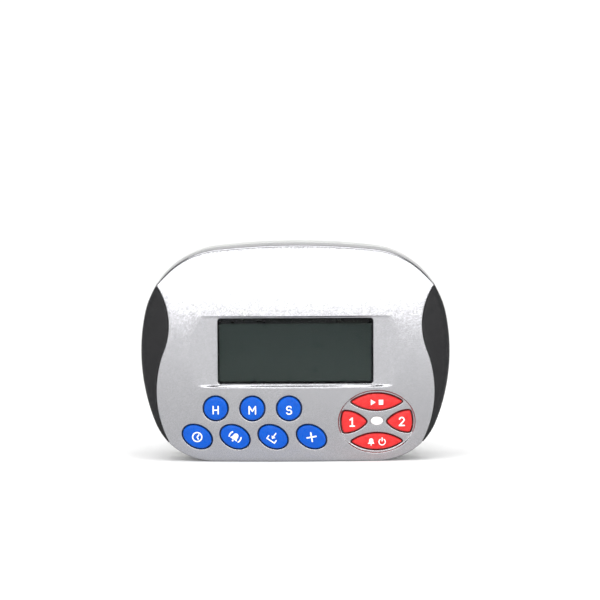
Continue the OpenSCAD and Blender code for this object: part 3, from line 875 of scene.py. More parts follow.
def sink(skin, loop_of, sign, y_of, radius, bottom):
    """Rounds the mouth of a hole and runs down its wall to bottom. loop_of(g) is the hole grown by g.
    Returns the rim and the lower end of the wall."""
    rings = []
    for share_in, share_deep in quarter(4):
        deep = sign * radius * share_deep
        rings.append(skin.ring(loop_of(radius * share_in), lambda x, z: depth_at(y_of, x, z) + deep))
    rings.append(skin.ring(loop_of(0), bottom))
    skin.stack(rings)
    return rings[0], rings[-1]


def side_wall(skin, outer, seam_y, inner_y_of):
    """Runs from a cover's rounded edge down its side, over the parting edge and up the inside.
    Returns the inner end."""
    return skin.stack(outer + [
        skin.ring(SILVER_EDGE, seam_y),
        skin.ring(offset(SILVER_EDGE, SEAM), PARTING),
        skin.ring(wall_loop(), PARTING),
        skin.ring(wall_loop(), inner_y_of),
    ])


def shifted(loop, centre):
    return [Vector((p[0] + centre[0], p[1] + centre[1])) for p in loop]


def key_hole(kind, centre):
    return lambda g: shifted(kind(KEY_GAP + g), centre)


def lamp_loop(g):
    return ellipse(*LAMP, LAMP_A + g, LAMP_B + g, 0, 48)


window_loop = grown_rect(0, WINDOW_Z, WINDOW_W, WINDOW_H, 1.0)
LENS_LOW, LENS_HIGH = mm_box("display_lens")
INNER_RISE = 0.02


def inner_face_y(x, z):
    """Back of the face's wall, kept just in front of the display lens."""
    y = crown_y(x, z) + WALL
    if abs(x) < LENS_HIGH.x + 2 and LENS_LOW.z - 2 < z < LENS_HIGH.z + 2:
        y = min(y, LENS_LOW.y - INNER_RISE)
    return y


def front_creases():
    """Lines that the face's triangles follow: the bevels of the recess and the rim of the dish."""
    lines = []
    for low, high in (BEVEL_LOW, BEVEL_HIGH):
        bevel = [low + (high - low) * k / 6 for k in range(7)]
        for z in [low - 0.45, low - 0.12] + bevel + [high + 0.12, high + 0.45]:
            lines.append([(x, z) for x in np.arange(-RECESS_HALF - 2, RECESS_HALF + 2.1, 0.7)])
    for x in np.arange(RECESS_HALF - 1.8, RECESS_HALF + 2, 0.6):
        for side in (-1, 1):
            lines.append([(side * x, z) for z in np.arange(BEVEL_LOW[1] + 0.5, BEVEL_HIGH[0], 0.8)])
    for q in np.linspace(DISH_RIM[0] - 0.02, DISH_RIM[1] + 0.02, 9):
        lines.append(ellipse(*CLUSTER, DISH_A * q, DISH_B * q, 0, 150))
    return lines


def make_front_cover():
    skin = Skin()
    outer = edge_rings(skin, SILVER_EDGE, 1, face_y, edge_radii(FACE_ROUND))
    holes = [(key_hole(kind, centre), HOLE_ROUND) for centre, kind, _ in KEYS.values()]
    holes += [(window_loop, WINDOW_ROUND), (lamp_loop, LAMP_HOLE_ROUND)]
    ends = [sink(skin, loop_of, 1, face_y, radius, inner_face_y) for loop_of, radius in holes]
    skin.patch([outer[0]] + [rim for rim, _ in ends], face_y, 1.7, front_creases())
    last = side_wall(skin, outer, PARTING - SEAM, inner_face_y)
    skin.patch([last] + [end for _, end in ends], inner_face_y, 4.0, flip=True)
    skin.build("front_shell", SILVER, "case", ["front_cover"], 38)


make_front_cover()


# ---------------------------------------------------------------- rear cover

PIVOT_Y, PIVOT_Z = 10.2, 56.0
STAND_HALF = 16.0
STAND_LOW = 27.0
KNUCKLE_R = 1.8
STAND_GAP = 0.3
STAND_FLOOR = PIVOT_Y - KNUCKLE_R - STAND_GAP
DOOR_Z = 15.0
DOOR_HALF_X, DOOR_HALF_Z = 26.2, 7.2
DOOR_GAP = 0.35
DOOR_Y = 10.4
BAY_HALF_X, BAY_HALF_Z = 24.9, 5.75
BAY_FLOOR = -1.0
SCOOP_R, SCOOP_DEPTH = 3.4, 0.9
MAGNETS = [(27.0, 50.0), (-27.0, 50.0)]
MAGNET_R, MAGNET_T = 5.0, 2.5
BUZZER = (27.5, 33.5)
CASE_SCREWS = [(34.0, 56.0), (-34.0, 56.0), (40.0, 25.5), (-40.0, 25.5)]
HEAD_SEAT = 6.0
HEAD_HOLE_R, SHANK_HOLE_R, BOSS_R = 2.3, 1.3, 3.0
CHAMBER_OUT, CHAMBER_IN, CHAMBER_DEEP = 9.1, 8.0, 3.2
SOUND_HOLE_R, SOUND_RING_R = 0.75, 3.0
RIM_ROUND = 0.25
SOUND_ROUND = 0.2
BACK_ROUND = 2.4


def box_loop(x_half, z_low, z_high, corner):
    """Rounded rectangle about x = 0, as a function of how far it is grown."""
    return grown_rect(0, (z_low + z_high) / 2, 2 * x_half, z_high - z_low, corner, 6, 1.6)


def around(place, radius, count):
    """A circle about place, as a function of how far it is grown."""
    return lambda g: circle(place, radius + g, count)


def rear_face_y(x, z):
    """The back with its finger scoop above the door."""
    q = math.hypot(x, z - DOOR_Z - DOOR_HALF_Z) / SCOOP_R
    return back_face_y(x, z) - SCOOP_DEPTH * (1 - smooth_step((q - 0.3) / 0.7))


def inner_back_y(x, z):
    return back_face_y(x, z) - WALL


def pocket(skin, loop_of, floor, spacing=3.0):
    """A flat-floored pocket in the back with a rounded rim. Returns the rim."""
    rim, end = sink(skin, loop_of, -1, back_face_y, RIM_ROUND, floor)
    skin.patch([end], floor, spacing)
    return rim


def block(skin, loop, end):
    """A block on the inside of the back wall that runs forward to end. Returns its rim on the wall."""
    rim = skin.ring(loop, inner_back_y)
    tip = skin.ring(loop, end)
    skin.bridge(rim, tip)
    skin.patch([tip], end, 4.0)
    return rim


def door_opening(skin):
    """Seat of the battery door and the bay behind it. Returns the rim."""
    gap = 2 * DOOR_GAP
    seat = grown_rect(0, DOOR_Z, 2 * DOOR_HALF_X + gap, 2 * DOOR_HALF_Z + gap, 1.2, 6, 1.0)
    rim, end = sink(skin, seat, -1, rear_face_y, RIM_ROUND, DOOR_Y)
    bay = rounded_rect(0, DOOR_Z, 2 * BAY_HALF_X, 2 * BAY_HALF_Z, 0.6, 4, 1.6)
    mouth = skin.ring(bay, DOOR_Y)
    skin.patch([end, mouth], DOOR_Y, 1.6)
    deep = skin.ring(bay, BAY_FLOOR)
    skin.bridge(mouth, deep)
    skin.patch([deep], BAY_FLOOR, 3.0)
    return rim


def screw_post(skin, place):
    """A case screw's counterbore and boss. Returns its rims on the back and on the inside."""
    rim, seat = sink(skin, around(place, HEAD_HOLE_R, 40), -1, back_face_y, RIM_ROUND, HEAD_SEAT)
    steps = ((SHANK_HOLE_R, HEAD_SEAT), (SHANK_HOLE_R, PARTING), (BOSS_R, PARTING), (BOSS_R, inner_back_y))
    last = skin.stack([seat] + [skin.ring(circle(place, radius), y) for radius, y in steps])
    return rim, last


def sound_chamber(skin):
    """The buzzer's seat inside the back, with seven holes in its floor. Returns the seat's rim on the
    inside and the holes' rims on the back."""
    deep = BACK - CHAMBER_DEEP
    steps = ((CHAMBER_OUT, inner_back_y), (CHAMBER_OUT, deep), (CHAMBER_IN, deep), (CHAMBER_IN, inner_back_y))
    rings = [skin.ring(circle(BUZZER, radius, 56), y) for radius, y in steps]
    skin.stack(rings)
    places = [BUZZER] + [tuple(polar(BUZZER, SOUND_RING_R, 60 * k)) for k in range(6)]
    loops = [around(place, SOUND_HOLE_R, 24) for place in places]
    holes = [sink(skin, loop_of, -1, back_face_y, SOUND_ROUND, inner_back_y) for loop_of in loops]
    skin.patch([rings[-1]] + [end for _, end in holes], inner_back_y, 1.5)
    return rings[0], [rim for rim, _ in holes]


def make_rear_cover():
    skin = Skin()
    outer = edge_rings(skin, SILVER_EDGE, -1, back_face_y, edge_radii(BACK_ROUND), 9)
    top = PIVOT_Z + KNUCKLE_R + STAND_GAP
    stand_seat = box_loop(STAND_HALF + STAND_GAP, STAND_LOW - STAND_GAP, top, 1.6)
    stand_block = box_loop(STAND_HALF + 2.2, STAND_LOW - 1.5, top + 1.2, 0.8)
    rims = [outer[0], pocket(skin, stand_seat, STAND_FLOOR)]
    inner_rims = [block(skin, stand_block(0), STAND_FLOOR - 1.2)]
    rims.append(door_opening(skin))
    inner_rims.append(block(skin, rounded_rect(0, DOOR_Z, 55.1, 17.1, 0.8, 4, 1.6), BAY_FLOOR - 1))
    for place in MAGNETS:
        rims.append(pocket(skin, around(place, MAGNET_R + 0.03, 56), BACK - MAGNET_T, 2.0))
        inner_rims.append(block(skin, circle(place, MAGNET_R + 0.8), BACK - MAGNET_T - 1))
    for place in CASE_SCREWS:
        rim, inner_rim = screw_post(skin, place)
        rims.append(rim)
        inner_rims.append(inner_rim)
    seat_rim, sound_rims = sound_chamber(skin)
    rims += sound_rims
    inner_rims.append(seat_rim)
    lines = [circle((0, MID_Z), BACK_FLAT + d, 240) for d in (-1.5, 0, 1.5)]
    lines += [circle((0, DOOR_Z + DOOR_HALF_Z), SCOOP_R * q, 48) for q in (0.3, 0.5, 0.65, 0.8, 0.92, 1.0)]
    skin.patch(rims, rear_face_y, 2.0, lines)
    last = side_wall(skin, outer, PARTING + SEAM, inner_back_y)
    skin.patch([last] + inner_rims, inner_back_y, 4.0, flip=True)
    skin.build("rear_shell", SHELL, "case", ["rear_cover"], 38)


make_rear_cover()


# ---------------------------------------------------------------- grips

GRIP_SEAM = 0.06
GRIP_ROUND = 2.3
GRIP_SHORT = 0.4
GRIP_RINGS = 96


def grip_section(z):
    """Outer and inner path of the grip's C-shaped section at a height, from the face round to the back."""
    x0, x1 = grip_x(z) + GRIP_SEAM, edge_x(z)
    width = x1 - x0
    round_r = min(GRIP_ROUND, 0.62 * width)
    lip = min(0.35, 0.2 * width)
    thick = min(GRIP_T, 0.5 * width + 0.02)
    outer, inner = [], []
    for sign, y_of in ((1, face_y), (-1, back_face_y)):
        half_out = []
        for share_in, share_deep in reversed(quarter(4)):
            x = x0 + lip * share_in
            half_out.append((x, y_of(x, z) + sign * lip * share_deep))
        for share in np.linspace(0, 1, 9)[1:-1]:
            x = x0 + lip + (x1 - round_r - x0 - lip) * share
            half_out.append((x, y_of(x, z)))
        for share_in, share_deep in quarter(9):
            x = x1 - round_r * share_in
            half_out.append((x, y_of(x, z) + sign * round_r * share_deep))
        inner_x = [x0 + (width - thick) * ((x - x0) / width) for x, _ in half_out]
        half_in = [(x, y_of(x, z) + sign * thick) for x in inner_x]
        outer += half_out if sign == 1 else half_out[::-1]
        inner += half_in if sign == 1 else half_in[::-1]
    return outer, inner


def make_grip(side):
    """side is 1 for the right grip and -1 for the left one."""
    skin = Skin()
    share = (1 - np.cos(np.linspace(0, math.pi, GRIP_RINGS))) / 2
    rings = []
    for z in GRIP_FOOT + GRIP_SHORT + (GRIP_TOP - GRIP_FOOT - 2 * GRIP_SHORT) * share:
        outer, inner = grip_section(z)
        rings.append(skin.add([(side * x, y, z) for x, y in outer + inner[::-1]]))
    skin.stack(rings)
    for ring in (rings[0], rings[-1]):
        for i in range(len(ring) // 2 - 1):
            skin.faces.append((ring[i], ring[i + 1], ring[-2 - i], ring[-1 - i]))
    name = "right" if side == 1 else "left"
    skin.build(name + "_rubber", RUBBER, "case", [name + "_grip"], 40)


make_grip(1)
make_grip(-1)


# ---------------------------------------------------------------- stand, battery door, magnets and screws

PLATE_GRID = 1.8


def plate(skin, loop, back_of, front_of, radii, back_rims, front_rims, lines):
    """A plate between two depths, with rounded edges. The rims are those of its recesses."""
    back = edge_rings(skin, loop, -1, back_of, radii, 5)
    front = edge_rings(skin, loop, 1, front_of, radii, 5)
    skin.stack(back)
    skin.stack(front)
    skin.bridge(back[-1], front[-1])
    skin.patch([back[0], *back_rims], back_of, PLATE_GRID, lines)
    skin.patch([front[0], *front_rims], front_of, PLATE_GRID)


def recess(skin, loop_of, sign, surface, depth, radius=0.3):
    """A shallow recess in a plate, whose floor follows the surface. sign is -1 on the plate's back and 1 on
    its front. Returns the rim."""
    def floor(x, z):
        return depth_at(surface, x, z) + sign * depth

    rim, end = sink(skin, loop_of, sign, surface, radius, floor)
    skin.patch([end], floor, 2.0)
    return rim


NOTCH_R = 6.0
STAND_TOP = PIVOT_Z + KNUCKLE_R - 0.06
STAND_T = 3.0
STAND_ROUND = 0.4


def stand_loop():
    """Outline of the stand with a finger notch in its lower edge."""
    corner, half, low = 2.0, STAND_HALF, STAND_LOW
    right = resampled([Vector((half, low + corner)), Vector((half, STAND_TOP))], 1.2)
    top = resampled([Vector((half, STAND_TOP)), Vector((-half, STAND_TOP))], 1.6)
    left = [Vector((-p.x, p.y)) for p in reversed(right)]
    foot = resampled([Vector((-half + corner, low)), Vector((-NOTCH_R, low))], 1.2)
    notch = arc((0, low), NOTCH_R, 180, 0, 26)
    return (
        arc((half - corner, low + corner), corner, -90, 0, 8)[:-1] + right[:-1] + top[:-1] + left[:-1]
        + arc((-half + corner, low + corner), corner, 180, 270, 8)[:-1] + foot[:-1] + notch[:-1]
        + [Vector((-p.x, p.y)) for p in reversed(foot)][:-1]
    )


def knuckle_rise(z):
    return math.sqrt(max(KNUCKLE_R ** 2 - (z - PIVOT_Z) ** 2, 0))


def stand_back_y(x, z):
    return BACK if z < PIVOT_Z else PIVOT_Y + knuckle_rise(z)


def stand_front_y(x, z):
    plain = BACK - STAND_T
    return min(plain, PIVOT_Y - knuckle_rise(z)) if z < PIVOT_Z else PIVOT_Y - knuckle_rise(z)


def make_stand():
    skin = Skin()
    loop = stand_loop()
    panel = recess(skin, grown_rect(0, 44.5, 23, 15, 1.6), -1, stand_back_y, 0.35)
    wells = []
    for side in (-1, 1):
        well = grown_rect(7.4 * side, 44.0, 12, 17, 1.2)
        wells.append(recess(skin, well, 1, stand_front_y, 1.3, 0.25))
    lines = [resampled([Vector((-15.4, z)), Vector((15.4, z))], 1.5) for z in np.arange(54.4, 57.7, 0.3)]
    plate(skin, loop, stand_back_y, stand_front_y, [STAND_ROUND] * len(loop), [panel], wells, lines)
    skin.build("stand_flap", SHELL, "stand", ["stand"], 38)


make_stand()

DOOR_LOW = DOOR_Z - DOOR_HALF_Z
ARROW = [Vector((1.5, 11.6)), Vector((0, 13.6)), Vector((-1.5, 11.6))]
ARROW_MID = Vector((0, 12.4))
GROOVES = [17.2, 18.2, 19.2, 20.2]
GROOVE_HALF = 8.0
GROOVE_WIDE, GROOVE_DEEP = 0.36, 0.32


def door_back_y(x, z):
    """Outer face of the door with finger grooves near its upper edge."""
    y = BACK - 0.01
    for middle in GROOVES:
        reach = min(1.0, max(0.0, (GROOVE_HALF - abs(x)) / 0.6))
        y -= GROOVE_DEEP * smooth_step(1 - abs(z - middle) / GROOVE_WIDE) * smooth_step(reach)
    return y


def arrow_loop(g):
    return [p + (p - ARROW_MID).normalized() * g for p in ARROW]


def make_door():
    skin = Skin()
    loop = rounded_rect(0, DOOR_Z, 2 * DOOR_HALF_X, 2 * DOOR_HALF_Z, 1.0, 6, 1.0)
    nose = [0.3 + 0.47 * (1 - smooth_step((p[1] - DOOR_LOW) / 1.2)) for p in loop]
    lines = []
    for middle in GROOVES:
        for share in (-1, -0.5, 0, 0.5, 1):
            z = middle + share * GROOVE_WIDE
            lines.append([(x, z) for x in np.arange(-GROOVE_HALF - 0.4, GROOVE_HALF + 0.41, 0.6)])
    well = recess(skin, grown_rect(0, DOOR_Z + 0.6, 46, 9, 1.2), 1, DOOR_Y, 0.4, 0.2)
    arrow = recess(skin, arrow_loop, -1, door_back_y, 0.22, 0.1)
    plate(skin, loop, door_back_y, DOOR_Y, nose, [arrow], [well], lines)
    skin.build("bay_door", SHELL, "battery_door", ["battery_door"], 38)


make_door()


def turned(skin, profile, place, axis, count):
    """A ring for each (radius, along) pair of a profile, about an axis through place."""
    rings = []
    x, y, z = place
    for radius, along in profile:
        turns = [2 * math.pi * k / count for k in range(count)]
        ring = [(radius * math.cos(a), radius * math.sin(a)) for a in turns]
        if axis == "x":
            rings.append(skin.add([(x + along, y + u, z + v) for u, v in ring]))
        else:
            rings.append(skin.add([(x + u, y + along, z + v) for u, v in ring]))
    return rings


def lathe(skin, profile, place, axis, count):
    """Turns a closed profile, whose ends have radius 0, about an axis through place."""
    rings = turned(skin, profile[1:-1], place, axis, count)
    skin.stack(rings)
    x, y, z = place
    for ring, (_, along) in ((rings[0], profile[0]), (rings[-1], profile[-1])):
        skin.fan(ring, (x + along, y, z) if axis == "x" else (x, y + along, z))


def make_magnets():
    skin = Skin()
    back, deep = BACK - 0.03, BACK - MAGNET_T
    profile = [
        (0, deep), (4.8, deep), (MAGNET_R, deep + 0.2), (MAGNET_R, back - 0.3), (4.92, back - 0.12),
        (4.72, back), (3.0, back), (0, back),
    ]
    for x, z in MAGNETS:
        lathe(skin, profile, (x, 0, z), "y", 64)
    nickel = metal("magnet_nickel", (0.66, 0.65, 0.62), 0.3)
    skin.build("magnet_discs", nickel, "case", ["magnets"], 40)


make_magnets()


def cross_loop(centre, reach, half):
    """Outline of a cross recess whose arms are reach long and twice half wide."""
    corners = [
        (reach, -half), (reach, half), (half, half), (half, reach), (-half, reach), (-half, half),
        (-reach, half), (-reach, -half), (-half, -half), (-half, -reach), (half, -reach), (half, -half),
    ]
    return [Vector((centre[0] + x, centre[1] + z)) for x, z in corners]


HEAD_R, SHANK_R, THREAD_R = 2.0, 1.08, 0.84
SCREW_L, THREAD_PITCH = 8.0, 0.8
CROSS_DEEP = 0.95


def make_case_screws():
    """Pan-head screws: domed head with a tapering cross recess, and a threaded shank."""
    skin = Skin()
    top, tip = HEAD_SEAT + 1.4, HEAD_SEAT - SCREW_L
    profile = [(1.97, top - 0.5), (HEAD_R, top - 0.75), (HEAD_R, HEAD_SEAT), (SHANK_R, HEAD_SEAT)]
    for k in range(int(SCREW_L / THREAD_PITCH) - 1):
        y = HEAD_SEAT - 0.3 - k * THREAD_PITCH
        profile += [(THREAD_R, y), (THREAD_R, y - 0.3), (SHANK_R, y - 0.5), (SHANK_R, y - 0.6)]
    profile.append((0.3, tip))
    for place in CASE_SCREWS:
        def dome(x, z):
            return top - 0.45 * (math.hypot(x - place[0], z - place[1]) / HEAD_R) ** 3

        rings = [skin.ring(circle(place, radius), y) for radius, y in profile]
        skin.stack(rings)
        skin.patch([rings[-1]], tip, 1.0)
        rim = skin.ring(circle(place, 1.93), dome)
        skin.bridge(rim, rings[0])
        mouth = skin.ring(cross_loop(place, 1.15, 0.28), dome)
        floor = skin.ring(cross_loop(place, 0.75, 0.2), top - CROSS_DEEP)
        skin.bridge(mouth, floor)
        skin.patch([floor], top - CROSS_DEEP, 1.0)
        skin.patch([rim, mouth], dome, 0.45)
    steel = metal("screw_steel", (0.50, 0.50, 0.51), 0.32)
    skin.build("pan_screws", steel, "case", ["case_screws"], 38)


make_case_screws()


# ---------------------------------------------------------------- keys

KEY_SINK = 0.1
KEY_ROUND = 0.75
KEY_DOME = 0.15
DOME_RINGS = 6


def key_top_y(x, z):
    return crown_y(x, z) + (DISH_DEPTH if dish_radius(x, z) < 1 else 0) - KEY_PROUD + KEY_SINK


def make_key(node, centre, kind, material):
    """One cap: straight wall, rounded edge, and a top that is gently domed across its shape. Returns the
    depth of its top as a function of the place."""
    skin = Skin()
    bottom = mm_box(node)[1].y
    rings = [skin.ring(shifted(kind(0), centre), bottom)]
    for share_in, share_deep in reversed(quarter(7)):
        loop = shifted(kind(-KEY_ROUND * share_in), centre)
        deep = KEY_ROUND * share_deep
        rings.append(skin.ring(loop, lambda x, z: key_top_y(x, z) + deep))
    inner = skin.stack(rings)
    top_loop = kind(-KEY_ROUND)
    reach = max(p.length for p in top_loop)

    def top_y(x, z):
        along = math.hypot(x - centre[0], z - centre[1]) / reach
        return key_top_y(x, z) - KEY_DOME * (1 - min(along, 1) ** 2)

    drops = [skin.points[i][1] - top_y(skin.points[i][0], skin.points[i][2]) for i in inner]
    for k in range(1, DOME_RINGS):
        share = 1 - k / DOME_RINGS
        fades = iter([drop * smooth_step(share) ** 2 for drop in drops])
        loop = [(centre[0] + p[0] * share, centre[1] + p[1] * share) for p in top_loop]
        ring = skin.ring(loop, lambda x, z: top_y(x, z) + next(fades))
        skin.bridge(inner, ring)
        inner = ring
    skin.fan(inner, (centre[0], top_y(*centre), centre[1]))
    skin.fan(rings[0][::-1], (centre[0], bottom, centre[1]))
    skin.build(node.replace("_key", "_cap"), material, node, [node], 40)
    return top_y


key_tops = {}
for key_name, (key_centre, key_kind, key_slot) in KEYS.items():
    cap_plastic = BLUE if key_slot == "blue_key" else RED
    key_tops[key_name] = make_key(key_name, key_centre, key_kind, cap_plastic)


# ---------------------------------------------------------------- marks on the keys

THIN, BOLD = 0.13, 0.17
INK_RISE = 0.035
INK_ROOT = 0.05


def ribbon(points, width):
    """A stroke of even width with round ends, as one closed outline."""
    pts = [Vector(p) for p in points]
    half = width / 2
    left, right = [], []
    for i, p in enumerate(pts):
        run = (pts[min(i + 1, len(pts) - 1)] - pts[max(i - 1, 0)]).normalized()
        side = Vector((-run.y, run.x)) * half
        left.append(p + side)
        right.append(p - side)
    out_dir = math.degrees(math.atan2(*(pts[-1] - pts[-2]).yx))
    in_dir = math.degrees(math.atan2(*(pts[1] - pts[0]).yx))
    end_cap = arc(pts[-1], half, out_dir - 90, out_dir + 90, 8)[1:-1]
    start_cap = arc(pts[0], half, in_dir + 90, in_dir + 270, 8)[1:-1]
    return right + end_cap + left[::-1] + start_cap


def strokes(width, *paths):
    """Straight strokes along each path, one outline for each stretch."""
    pairs = [pair for path in paths for pair in zip(path, path[1:])]
    return [ribbon(resampled([Vector(a), Vector(b)], 0.18), width) for a, b in pairs]


def bow(centre, radius, a0, a1):
    """A thin stroke along an arc."""
    return [ribbon(arc(centre, radius, a0, a1, max(6, int(abs(a1 - a0) / 12))), THIN)]


def bell_shape():
    """A bell and its clapper."""
    skirt = [(-0.27, -0.06), (-0.40, -0.26), (0.40, -0.26), (0.27, -0.06)]
    return [arc((0, 0.16), 0.25, 0, 180, 12) + skirt, arc((0, -0.40), 0.09, 0, 330, 11)]


def shifted_shapes(shapes, dx, dz, scale=1.0):
    return [[Vector((p[0] * scale + dx, p[1] * scale + dz)) for p in shape] for shape in shapes]


def letter_s():
    curve = arc((0, 0.23), 0.25, 25, 262, 14) + arc((0, -0.25), 0.27, 82, -155, 14)
    return [ribbon([(1.15 * p.x, p.y) for p in curve], BOLD)]


def digit_two():
    crook = arc((0, 0.22), 0.27, 165, -35, 12)
    return [ribbon(crook, BOLD)] + strokes(BOLD, [crook[-1], (-0.28, -0.48), (0.30, -0.48)])


RING = bow((0, 0), 0.46, 90, 280) + bow((0, 0), 0.46, 270, 460)
SHAKES = bow((0, 0.02), 0.58, 150, 205) + bow((0, 0.02), 0.58, -25, 30)
TRAY = strokes(THIN, [(0, 0.5), (0, 0.05)])
TRAY += [[(0.24, 0.08), (-0.24, 0.08), (0, -0.22)]]
TRAY += strokes(THIN, [(-0.48, -0.12), (-0.48, -0.46), (0.48, -0.46), (0.48, -0.12)])
POWER = bow((0, 0), 0.42, 125, 415) + strokes(THIN, [(0, 0.12), (0, 0.55)])
FOOT = [(-0.2, -0.48), (0.28, -0.48)]
SYMBOLS = {
    "hour_key": strokes(BOLD, *[[(x, -0.5), (x, 0.5)] for x in (-0.33, 0.33)], [(-0.33, 0), (0.33, 0)]),
    "minute_key": strokes(BOLD, [(-0.42, -0.5), (-0.42, 0.5), (0, -0.15), (0.42, 0.5), (0.42, -0.5)]),
    "second_key": letter_s(),
    "clock_key": RING + strokes(THIN, [(0, 0.28), (0, 0), (0.2, -0.12)]),
    "alarm_key": bell_shape() + SHAKES,
    "memory_key": TRAY,
    "clear_key": strokes(BOLD, [(-0.36, -0.36), (0.36, 0.36)], [(-0.36, 0.36), (0.36, -0.36)]),
    "start_stop_key": [
        [(-0.95, 0.46), (-0.95, -0.46), (-0.2, 0)],
        [(0.3, -0.4), (1.0, -0.4), (1.0, 0.4), (0.3, 0.4)],
    ],
    "timer_1_key": strokes(BOLD, [(-0.22, 0.28), (0.04, 0.48), (0.04, -0.48)], FOOT),
    "timer_2_key": digit_two(),
    "alarm_switch_key": shifted_shapes(bell_shape(), -0.75, 0.0, 1.1) + shifted_shapes(POWER, 0.7, -0.05),
}
# Height of each mark, how far it stands to the side of and above the key's middle, and its turn in degrees
MARK_PLACES = {
    "hour_key": (2.5, (0, -0.45), 0),
    "minute_key": (2.5, (0, -0.45), 0),
    "second_key": (2.6, (0, -0.45), 0),
    "clock_key": (3.3, (0, 0), -35),
    "alarm_key": (3.4, (0, 0), -35),
    "memory_key": (3.1, (0, 0), -35),
    "clear_key": (2.9, (0, 0), -35),
    "start_stop_key": (2.1, (0, -0.1), 0),
    "timer_1_key": (2.8, (-0.75, 0), 0),
    "timer_2_key": (2.8, (0.75, 0), 0),
    "alarm_switch_key": (2.5, (0, 0), 0),
}


def make_mark(name, shapes, centre, turn, surface, body):
    """A thin raised print of a set of outlines, which may overlap, lying on a curved surface."""
    c, s = math.cos(math.radians(turn)), math.sin(math.radians(turn))
    plane, outlines = [], []
    for shape in shapes:
        outlines.append(list(range(len(plane), len(plane) + len(shape))))
        plane += [Vector((centre[0] + c * p[0] - s * p[1], centre[1] + s * p[0] + c * p[1])) for p in shape]
    found = delaunay_2d_cdt(plane, [], outlines, 1, 1e-5, True)
    verts, tris, owners = found[0], found[2], found[5]
    tris = [t for t, owner in zip(tris, owners) if owner]
    used = sorted({i for t in tris for i in t})
    number = {v: k for k, v in enumerate(used)}
    skin = Skin()
    for depth in (-INK_RISE, INK_ROOT):
        skin.ring([verts[i] for i in used], lambda x, z: surface(x, z) + depth)
    lower = len(used)
    seen = {}
    for t in tris:
        a, b, d = (number[i] for i in t)
        skin.faces += [(a, b, d), (d + lower, b + lower, a + lower)]
        for edge in ((a, b), (b, d), (d, a)):
            seen[edge] = True
    for a, b in seen:
        if (b, a) not in seen:
            skin.faces.append((b, a, a + lower, b + lower))
    skin.build(name, INK, body, (), 30)


for key_name, shapes in SYMBOLS.items():
    key_centre, _, key_slot = KEYS[key_name]
    size, shift, turn = MARK_PLACES[key_name]
    place = (key_centre[0] + shift[0], key_centre[1] + shift[1])
    scaled = shifted_shapes(shapes, 0, 0, size)
    make_mark(key_name.replace("_key", "_mark"), scaled, place, turn, key_tops[key_name], key_name)


# ---------------------------------------------------------------- lamp, display, cell and inner parts

LAMP_CLEAR = 0.04
MAT_T = 1.0


def make_lamp():
    """Small oval lens in the middle of the red keys, gently domed."""
    skin = Skin()
    top = face_y(*LAMP) - DISH_DEPTH - LAMP_PROUD
    bottom = mm_box("lamp_lens")[1].y
    rings = [skin.ring(lamp_loop(-LAMP_CLEAR), bottom)]
    for share in np.linspace(0, 1, 10):
        a = share * math.pi / 2
        grow = -LAMP_CLEAR - 1.25 * (1 - math.cos(a))
        rings.append(skin.ring(lamp_loop(grow), top + 0.62 * (1 - math.sin(a))))
    skin.stack(rings)
    skin.patch([rings[0]], bottom, 1.0)
    skin.patch([rings[-1]], top, 0.6)
    skin.build("lamp_dome", lamp_white(), "case", ["lamp_lens"], 50)


def make_keypad():
    """Rubber sheet behind the keys, with one hollow dome under each key."""
    low, high = mm_box("keypad_mat")
    base, sheet_front, top = high.y, high.y - MAT_T, low.y
    foot = sheet_front - 0.02
    inset = [p for p in offset(mirrored_outline(), 6.0) if p.y <= high.z]
    loop = resampled(inset + [inset[0]], 1.6)[:-1]
    rubber = moulded("mat_rubber", (0.50, 0.50, 0.48), 0.55)
    skin = Skin()
    hole = circle(CLUSTER, 1.9, 28)
    front, back = skin.ring(loop, sheet_front), skin.ring(loop, base)
    hole_front, hole_back = skin.ring(hole, sheet_front), skin.ring(hole, base)
    skin.bridge(front, back)
    skin.bridge(hole_front, hole_back)
    skin.patch([front, hole_front], sheet_front, 4.0)
    skin.patch([back, hole_back], base, 4.0)
    skin.build("keypad_sheet", rubber, "case", ["keypad_mat"], 40)
    profile = [
        (0, top), (1.5, top), (1.75, top + 0.15), (2.2, foot), (1.8, foot), (1.4, top + 0.5), (0, top + 0.5),
    ]
    for node, (centre, _, _) in KEYS.items():
        x = centre[0] + {"timer_1_key": -0.8, "timer_2_key": 0.8}.get(node, 0)
        skin = Skin()
        lathe(skin, profile, (x, 0, centre[1]), "y", 32)
        dome = skin.build(node.replace("_key", "_dome"), rubber, "case", (), 40)
        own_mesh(dome)


def mirrored_outline():
    edge = resampled(right_edge(0), 1.2)
    return edge[:-1] + mirrored(edge)


